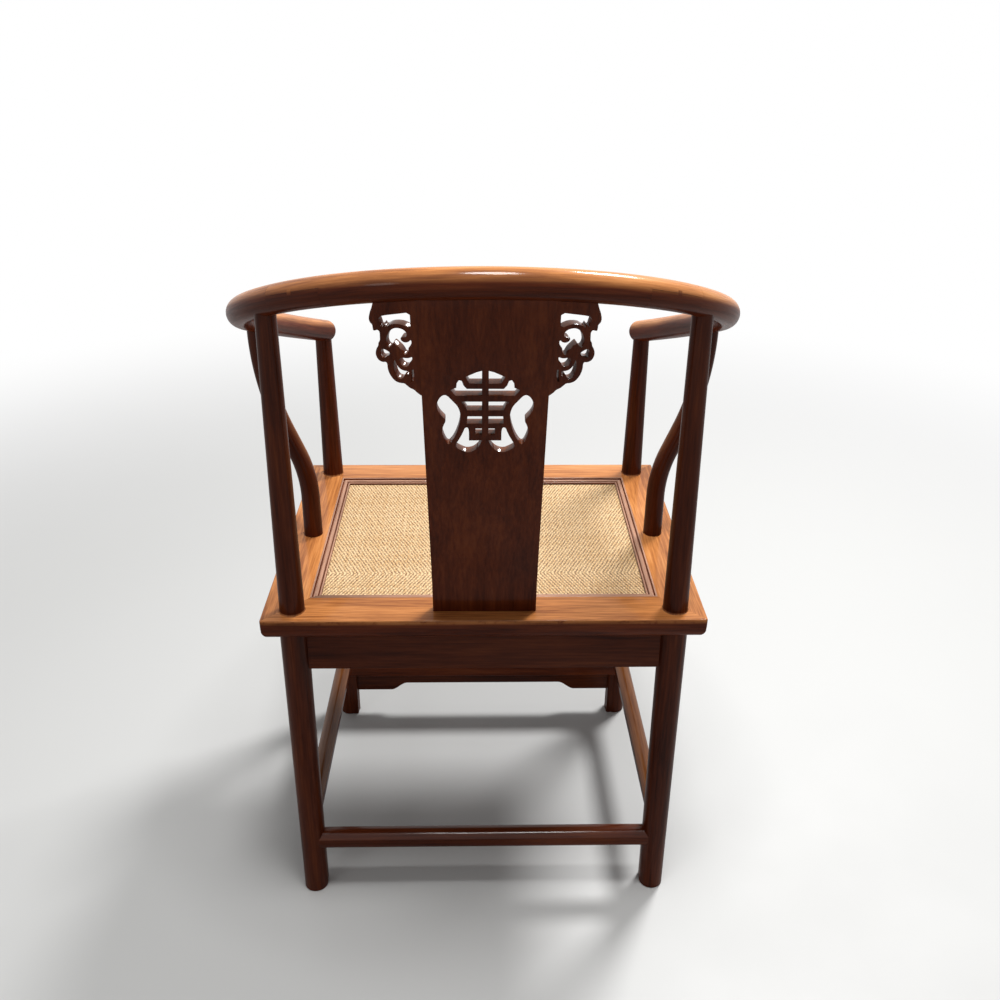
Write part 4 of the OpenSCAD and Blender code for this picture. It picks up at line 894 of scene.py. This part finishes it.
class ARMCHAIR_OT_seat_frame(bpy.types.Operator):
    """Four mitred members of the seat frame and the four strips that hold the mat"""

    bl_idname = "armchair.seat_frame"
    bl_label = "Seat frame and strips"

    def execute(self, context):
        seat = context.scene.chair_seat
        depth = SEAT_TOP - SEAT_UNDER
        half_d, mid_y = (SEAT_REAR - SEAT_FRONT) / 2, (SEAT_REAR + SEAT_FRONT) / 2
        side_w = SIDE_BOX[1].x - SIDE_BOX[0].x
        front_w = FRONT_BOX[1].y - FRONT_BOX[0].y
        rear_w = REAR_BOX[1].y - REAR_BOX[0].y
        ends = (("rear", SEAT_REAR, 1, rear_w), ("front", SEAT_FRONT, -1, front_w))
        for number, (end, outer, sign, width) in enumerate(ends, 12):
            profile, wear = frame_profile(seat, width, depth)
            rings, grain = mitred(profile, SEAT_HALF, side_w / width, seat.corner, True, outer, sign,
                                  SEAT_TOP)
            loft(f"seat_{end}_member", rings, grain + apart(number), "lacquered_wood",
                 f"seat_frame_{end}", wear=wear)
        profile, wear = frame_profile(seat, side_w, depth)
        for number, (side, sign) in enumerate(SIDES.items(), 14):
            outer = sign * SEAT_HALF
            rings, grain = mitred(profile, half_d, 1.0, seat.corner, False, outer, sign, SEAT_TOP)
            y, inset = rings[..., 1], sign * (outer - rings[..., 0])
            in_front_mitre = (y < 0) & (np.abs(y) + inset - half_d > -1e-9)
            y = np.where(in_front_mitre, y - (1 - front_w / side_w) * inset, y)
            rings[..., 1] = y + mid_y
            loft(f"seat_{side}_member", rings, grain + apart(number), "lacquered_wood",
                 f"seat_frame_{side}", wear=wear)
        self.strips()
        return {"FINISHED"}

    def strips(self):
        """Four moulded strips, mitred: a thin bead at the frame, a broad round and a thin bead at the
            mat, with grooves between that are painted darker as shade. The section is drawn 14 wide and
            7 high."""
        low, high = STRIP_BOX[0], STRIP_BOX[1]
        size = np.array([high.x - low.x, high.z - low.z])
        profile = size / (14.0, 7.0) * np.concatenate([
            [[0.0, 0.0]],
            arc((1.5, 5.5), 1.5, 180, -20, 9),
            [[3.5, 3.5]],
            arc((7.0, 1.7), 3.4, 148, 32, 10),
            [[10.9, 1.7]],
            arc((12.5, 1.8), 1.4, 165, 0, 8),
            [[14.0, 0.0]],
        ])
        # Points 10 and 21 are the bottoms of the grooves, and 0 and -1 touch the frame and the mat.
        # Painted shade: the grooves' bottoms and the edges at the frame and mat take none of the painted
        # top light, and the points beside the grooves take half of it.
        wear = np.zeros(len(profile))
        wear[[0, 10, 21, -1]] = -1.0
        wear[[9, 11, 20, 22]] = -0.5
        half_x, half_y, mid_y = high.x, (high.y - low.y) / 2, (low.y + high.y) / 2
        strips = (
            ("rear", half_x, True, high.y, 1, 0.0),
            ("front", half_x, True, low.y, -1, 0.0),
            *((side, half_y, False, sign * half_x, sign, mid_y) for side, sign in SIDES.items()),
        )
        for number, (end, half, along_x, outer, sign, y) in enumerate(strips, 16):
            rings, grain = mitred(profile, half, 1.0, 0.0, along_x, outer, sign, low.z)
            loft(f"strip_{end}", rings + (0.0, y, 0.0), grain + apart(number), "strip_wood",
                 f"mat_strip_{end}", wear=wear)


def carried_across(x, section):
    """Rings of a section of points (y, z), or one for each place, carried straight across the
    chair."""
    section = np.broadcast_to(section, (len(x), *section.shape[-2:]))
    xs = np.broadcast_to(x[:, None, None], (*section.shape[:2], 1))
    return np.concatenate([xs, section], -1)


def plate(x, low, high, y0, y1, ease):
    """Rings of an upright plate across the chair: at each x a rectangle with eased corners whose
    lower edge follows its own height."""
    top = np.full_like(low, high)
    z = np.stack([low, low, top, top], -1)
    y = np.broadcast_to([y0, y1, y1, y0], z.shape)
    return carried_across(x, eased(np.stack([y, z], -1), ease))


def ogee_edge(x, inner, drop, ogee, rise):
    """Height of an ogee ended lower edge over its end drops: rise (1 - cos(pi t)) / 2, with t the
    share of the ogee's length passed towards the middle."""
    t = np.clip((inner - drop - np.abs(x)) / ogee, 0, 1)
    return rise * (1 - np.cos(math.pi * t)) / 2


def stations(reach, *marks):
    """Places along x from -reach to reach, close together between each pair of marks."""
    right = [np.linspace(low, high, OGEE_ROWS) for low, high in marks]
    xs = np.unique(np.round(np.concatenate([[0.0, reach], *right]), 6))
    return np.concatenate([-xs[:0:-1], xs])


class ARMCHAIR_OT_aprons(bpy.types.Operator):
    """Aprons under the seat frame, the footrest and its apron"""

    bl_idname = "armchair.aprons"
    bl_label = "Aprons and footrest"

    def execute(self, context):
        seat, posts = context.scene.chair_seat, context.scene.chair_posts
        lines = chair_lines(context)
        inner = SEAT_HALF - posts.front_foot_side - posts.foot_radius
        rises = {"front_apron": seat.front_rise, "footrest_apron": seat.foot_rise}
        for number, (node, rise) in enumerate(rises.items(), 20):
            low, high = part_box(node)
            reach = at_height(lines["front"], low.z)[0]
            start = inner - seat.apron_drop
            x = stations(reach, (start - seat.ogee, start))
            edge = low.z + ogee_edge(x, inner, seat.apron_drop, seat.ogee, rise)
            rings = plate(x, edge, high.z, low.y, high.y, seat.edge)
            loft(f"{node}_board", rings, rings + apart(number), "shaded_wood", node)
        low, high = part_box("rear_apron")
        reach = at_height(lines["rear"], low.z)[0]
        x = np.linspace(-reach, reach, BOARD_ROWS)
        rings = plate(x, np.full(len(x), low.z), high.z, low.y, high.y, seat.edge)
        loft("rear_apron_board", rings, rings + apart(22), "shaded_wood", "rear_apron")
        self.side_aprons(seat, lines)
        self.footrest(lines)
        return {"FINISHED"}

    def side_aprons(self, seat, lines):
        """Plain boards between the front and rear legs."""
        low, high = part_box("left_apron")
        mid = (low.z + high.z) / 2
        a, b = at_height(lines["rear"], mid), at_height(lines["front"], mid)
        half = SIDE_APRON_HALF
        section = eased([[-half, low.z], [half, low.z], [half, high.z], [-half, high.z]], seat.edge)
        rings, grain = bar(a, b, section, 0.0)
        both_sides("{}_apron_board", rings, grain, "shaded_wood", "{}_apron", 23)

    def footrest(self, lines):
        """The footrest's board, with a half round front edge."""
        low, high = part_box("footrest")
        r, mid = (high.z - low.z) / 2, (low.z + high.z) / 2
        y, ease = high.y, FOOTREST_EASE
        section = np.concatenate([
            arc((low.y + r, mid), r, 90, 270, FOOTREST_POINTS),
            [[y - ease, low.z], [y, low.z + ease], [y, high.z - ease], [y - ease, high.z]],
        ])
        reach = at_height(lines["front"], mid)[0]
        rings = carried_across(np.linspace(-reach, reach, BOARD_ROWS), section)
        loft("footrest_board", rings, rings + apart(25), "lacquered_wood", "footrest")


def bar(a, b, section, level):
    """Rings of a bar from point a to point b: a section point (u, w) lies u sideways from the line,
    towards the sitter's left, and at height w above level."""
    t = np.linspace(0, 1, BAR_ROWS)[:, None]
    across = unit(np.array([-(b - a)[1], (b - a)[0]]))
    if across[0] < 0:
        across = -across
    line = a + (b - a) * t
    u, w = section[:, 0], section[:, 1]
    x = line[:, :1] + u * across[0]
    y = line[:, 1:2] + u * across[1]
    z = np.broadcast_to(w + level, x.shape)
    distance = t * np.linalg.norm(b - a) + 0 * u
    return np.stack([x, y, z], -1), np.stack([distance, u + 0 * x, z], -1)


def ridged_section(node, ridge):
    """Section of a stretcher as high as its CAD node, and the height of its line: round below, with
    upright sides and a flatter round of radius + ridge above."""
    low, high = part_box(node)
    radius = (high.z - low.z - ridge) / 2
    upper = radius + ridge
    rise = math.degrees(math.asin(math.sqrt(upper**2 - radius**2) / upper))
    below = arc((0, 0), radius, 180, 360, RIDGE_POINTS)
    above = arc((0, 0), upper, rise, 180 - rise, RIDGE_POINTS)
    return np.concatenate([below, above]), low.z + radius


class ARMCHAIR_OT_stretchers(bpy.types.Operator):
    """Rear and side stretchers with a ridged top"""

    bl_idname = "armchair.stretchers"
    bl_label = "Stretchers"

    def execute(self, context):
        seat = context.scene.chair_seat
        lines = chair_lines(context)
        section, level = ridged_section("rear_stretcher", seat.ridge)
        leg = at_height(lines["rear"], level)
        x = np.linspace(-leg[0], leg[0], BAR_ROWS)
        rings = carried_across(x, section + (leg[1], level))
        # Painted shade: the rear stretcher takes none of the painted top light.
        loft("rear_stretcher_bar", rings, rings + apart(26), "shaded_wood", "rear_stretcher",
             sharp=RIDGE_SHARP, wear=REAR_BAR_SHADE)
        section, level = ridged_section("left_stretcher", seat.ridge)
        a, b = at_height(lines["rear"], level), at_height(lines["front"], level)
        rings, grain = bar(a, b, section, level)
        # Painted shade: the side stretchers take less of the painted top light.
        both_sides("{}_stretcher_bar", rings, grain, "shaded_wood", "{}_stretcher", 27,
                   sharp=RIDGE_SHARP, wear=SIDE_BAR_SHADE)
        return {"FINISHED"}


class ARMCHAIR_OT_splat(bpy.types.Operator):
    """The pierced splat and its two pierced wings, with eased edges"""

    bl_idname = "armchair.splat"
    bl_label = "Splat and wings"

    def execute(self, context):
        for number, node in enumerate(("splat", "splat_left_wing", "splat_right_wing"), 30):
            self.eased_copy(node, apart(number))
        return {"FINISHED"}

    def eased_copy(self, node, offset):
        """A welded copy of a CAD node whose sharp edges are rounded, with its grain running up the
        chair."""
        flat, keen = math.radians(1.0), math.radians(40)
        shell = bmesh.new()
        shell.from_mesh(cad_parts[node].data)
        bmesh.ops.remove_doubles(shell, verts=shell.verts, dist=1e-5)
        bmesh.ops.dissolve_limit(shell, angle_limit=flat, verts=shell.verts, edges=shell.edges)
        edges = [e for e in shell.edges if len(e.link_faces) == 2 and e.calc_face_angle(0.0) > keen]
        bmesh.ops.bevel(shell, geom=edges, offset=PIERCED_EASE, segments=3, profile=0.5,
                        affect="EDGES", clamp_overlap=True)
        mesh = bpy.data.meshes.new(f"{node}_pierced")
        shell.to_mesh(mesh)
        shell.free()
        co = np.empty(len(mesh.vertices) * 3, np.float32)
        mesh.vertices.foreach_get("co", co)
        co = co.reshape(-1, 3)
        # Painted shade: the splat and wings take almost none of the painted top light.
        grain, wear = co[:, [2, 0, 1]] + offset, np.full(len(co), PIERCED_SHADE)
        finished(mesh, grain, wood("calm_wood"), node, wear)
        mesh.set_sharp_from_angle(angle=math.radians(SHARP))


class ARMCHAIR_OT_mat(bpy.types.Operator):
    """The woven mat, stretched over its board"""

    bl_idname = "armchair.mat"
    bl_label = "Woven mat"

    def execute(self, context):
        seat, colours = context.scene.chair_seat, context.scene.chair_colours
        low, high = MAT_BOX
        x = np.linspace(low.x, high.x, MAT_ROWS[0])
        y = np.linspace(low.y, high.y, MAT_ROWS[1])
        gx, gy = np.meshgrid(x, y, indexing="ij")
        rim = np.minimum.reduce([gx - low.x, high.x - gx, gy - low.y, high.y - gy])
        z = high.z - seat.mat_wave * (1 + np.clip(rim / FLAT_RIM, 0, 1) * self.waves(gx, gy))
        verts = np.stack([gx, gy, z], -1).reshape(-1, 3)
        index = np.arange(gx.size).reshape(gx.shape)
        quads = np.stack([index[:-1, :-1], index[1:, :-1], index[1:, 1:], index[:-1, 1:]], -1)
        mesh = new_mesh("woven_seat_mat", verts, quads.reshape(-1, 4).tolist())
        grain = np.stack([gx, gy - high.y + seat.weave_turn, 0 * gx], -1)
        straw = woven_mat(colours, seat.strand, seat.weft)
        mat = finished(mesh, grain, straw, "seat_mat")
        thick = mat.modifiers.new("thickness", "SOLIDIFY")
        thick.thickness = MAT_THICKNESS
        thick.offset = -1.0
        return {"FINISHED"}

    def waves(self, x, y):
        """Slow waves from -1 to 1: (sin(23x + 1.1) sin(19y + 0.4) + 0.6 sin(47x + 31y)) / 1.6."""
        return (np.sin(x * 23 + 1.1) * np.sin(y * 19 + 0.4) + 0.6 * np.sin(x * 47 + y * 31)) / 1.6


class ARMCHAIR_OT_hidden_wood(bpy.types.Operator):
    """Wood for the CAD nodes that stay: the board, its battens and the rail's wedge pins"""

    bl_idname = "armchair.hidden_wood"
    bl_label = "Board, battens and pins"

    def execute(self, context):
        for name in ("seat_board", "seat_batten_left", "seat_batten_right", "rail_wedge_pins"):
            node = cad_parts[name]
            node.data.materials.clear()
            node.data.materials.append(wood("plain_wood"))
        return {"FINISHED"}


class ARMCHAIR_OT_stage(bpy.types.Operator):
    """Pale floor, soft lamps and the camera at the photograph's viewing angle"""

    bl_idname = "armchair.stage"
    bl_label = "Stage"

    def execute(self, context):
        corners = np.array([[-1, -1, 0], [1, -1, 0], [1, 1, 0], [-1, 1, 0]]) * FLOOR_REACH
        mesh = new_mesh("floor", corners, [(0, 1, 2, 3)])
        mesh.materials.append(pale_floor(context.scene.chair_colours))
        floor = bpy.data.objects.new("floor", mesh)
        context.scene.collection.objects.link(floor)
        self.lamps(context)
        self.camera(context)
        return {"FINISHED"}

    def lamps(self, context):
        """The soft lamps and the world's light."""
        for name, place, aim, size, power in LAMPS:
            data = bpy.data.lights.new(name, "AREA")
            data.shape, data.size, data.energy = "DISK", size, power
            lamp = bpy.data.objects.new(name, data)
            lamp.location = place
            lamp.rotation_mode = "QUATERNION"
            lamp.rotation_quaternion = (Vector(place) - Vector(aim)).to_track_quat("Z", "Y")
            context.scene.collection.objects.link(lamp)
        world = bpy.data.worlds.new("studio")
        context.scene.world = world
        n = Nodes(world)
        light = n.fade(sees_background(n), 0.0, 1.0, WORLD_LIGHT, 1.0)
        n.fill(n.shader, Color=(1.0, 1.0, 1.0, 1.0), Strength=light)

    def camera(self, context):
        """The camera fitted to the photograph: where it stands, its turn, pitch and roll. Across the
        image, FOCAL_PIXELS of IMAGE_PIXELS is the lens over the sensor's width."""
        place = Vector(CAMERA_PLACE)
        yaw, pitch, roll = CAMERA_TURN
        ahead = Vector((math.sin(yaw), -math.cos(yaw), 0))
        right = Vector((-math.cos(yaw), -math.sin(yaw), 0))
        up = math.sin(pitch) * ahead + math.cos(pitch) * Vector((0, 0, 1))
        forward = math.cos(pitch) * ahead - math.sin(pitch) * Vector((0, 0, 1))
        level_right = math.cos(roll) * right + math.sin(roll) * up
        level_up = math.cos(roll) * up - math.sin(roll) * right
        data = bpy.data.cameras.new("camera")
        data.sensor_width, data.lens = SENSOR, SENSOR * FOCAL_PIXELS / IMAGE_PIXELS
        camera = bpy.data.objects.new("camera", data)
        turned_to = Matrix((level_right, level_up, -forward)).transposed().to_4x4()
        camera.matrix_world = Matrix.Translation(place) @ turned_to
        context.scene.collection.objects.link(camera)
        context.scene.camera = camera
        context.scene.view_settings.view_transform = "Standard"


STEPS = (
    ARMCHAIR_OT_crest_rail,
    ARMCHAIR_OT_legs,
    ARMCHAIR_OT_side_posts,
    ARMCHAIR_OT_seat_frame,
    ARMCHAIR_OT_aprons,
    ARMCHAIR_OT_stretchers,
    ARMCHAIR_OT_splat,
    ARMCHAIR_OT_mat,
    ARMCHAIR_OT_hidden_wood,
    ARMCHAIR_OT_stage,
)
GROUPS = {
    "chair_rail": RailSizes,
    "chair_posts": PostSizes,
    "chair_seat": SeatSizes,
    "chair_colours": FinishColours,
}


class ARMCHAIR_PT_panel(bpy.types.Panel):
    """The armchair's steps and sizes"""

    bl_idname = "ARMCHAIR_PT_panel"
    bl_label = "Armchair"
    bl_space_type = "VIEW_3D"
    bl_region_type = "UI"
    bl_category = "Armchair"

    def draw(self, context):
        for step in STEPS:
            self.layout.operator(step.bl_idname)
        for name, group in GROUPS.items():
            box = self.layout.box()
            for key in group.__annotations__:
                box.prop(getattr(context.scene, name), key)


def register():
    """Registers the properties, operators and panel."""
    for group in (*GROUPS.values(), *STEPS, ARMCHAIR_PT_panel):
        bpy.utils.register_class(group)
    for name, group in GROUPS.items():
        setattr(bpy.types.Scene, name, PointerProperty(type=group))


def unregister():
    """Takes them away again."""
    for name in GROUPS:
        delattr(bpy.types.Scene, name)
    for group in (ARMCHAIR_PT_panel, *STEPS[::-1], *GROUPS.values()):
        bpy.utils.unregister_class(group)


def main():
    register()
    for step in STEPS:
        family, name = step.bl_idname.split(".")
        getattr(getattr(bpy.ops, family), name)()


if __name__ == "__main__":
    main()
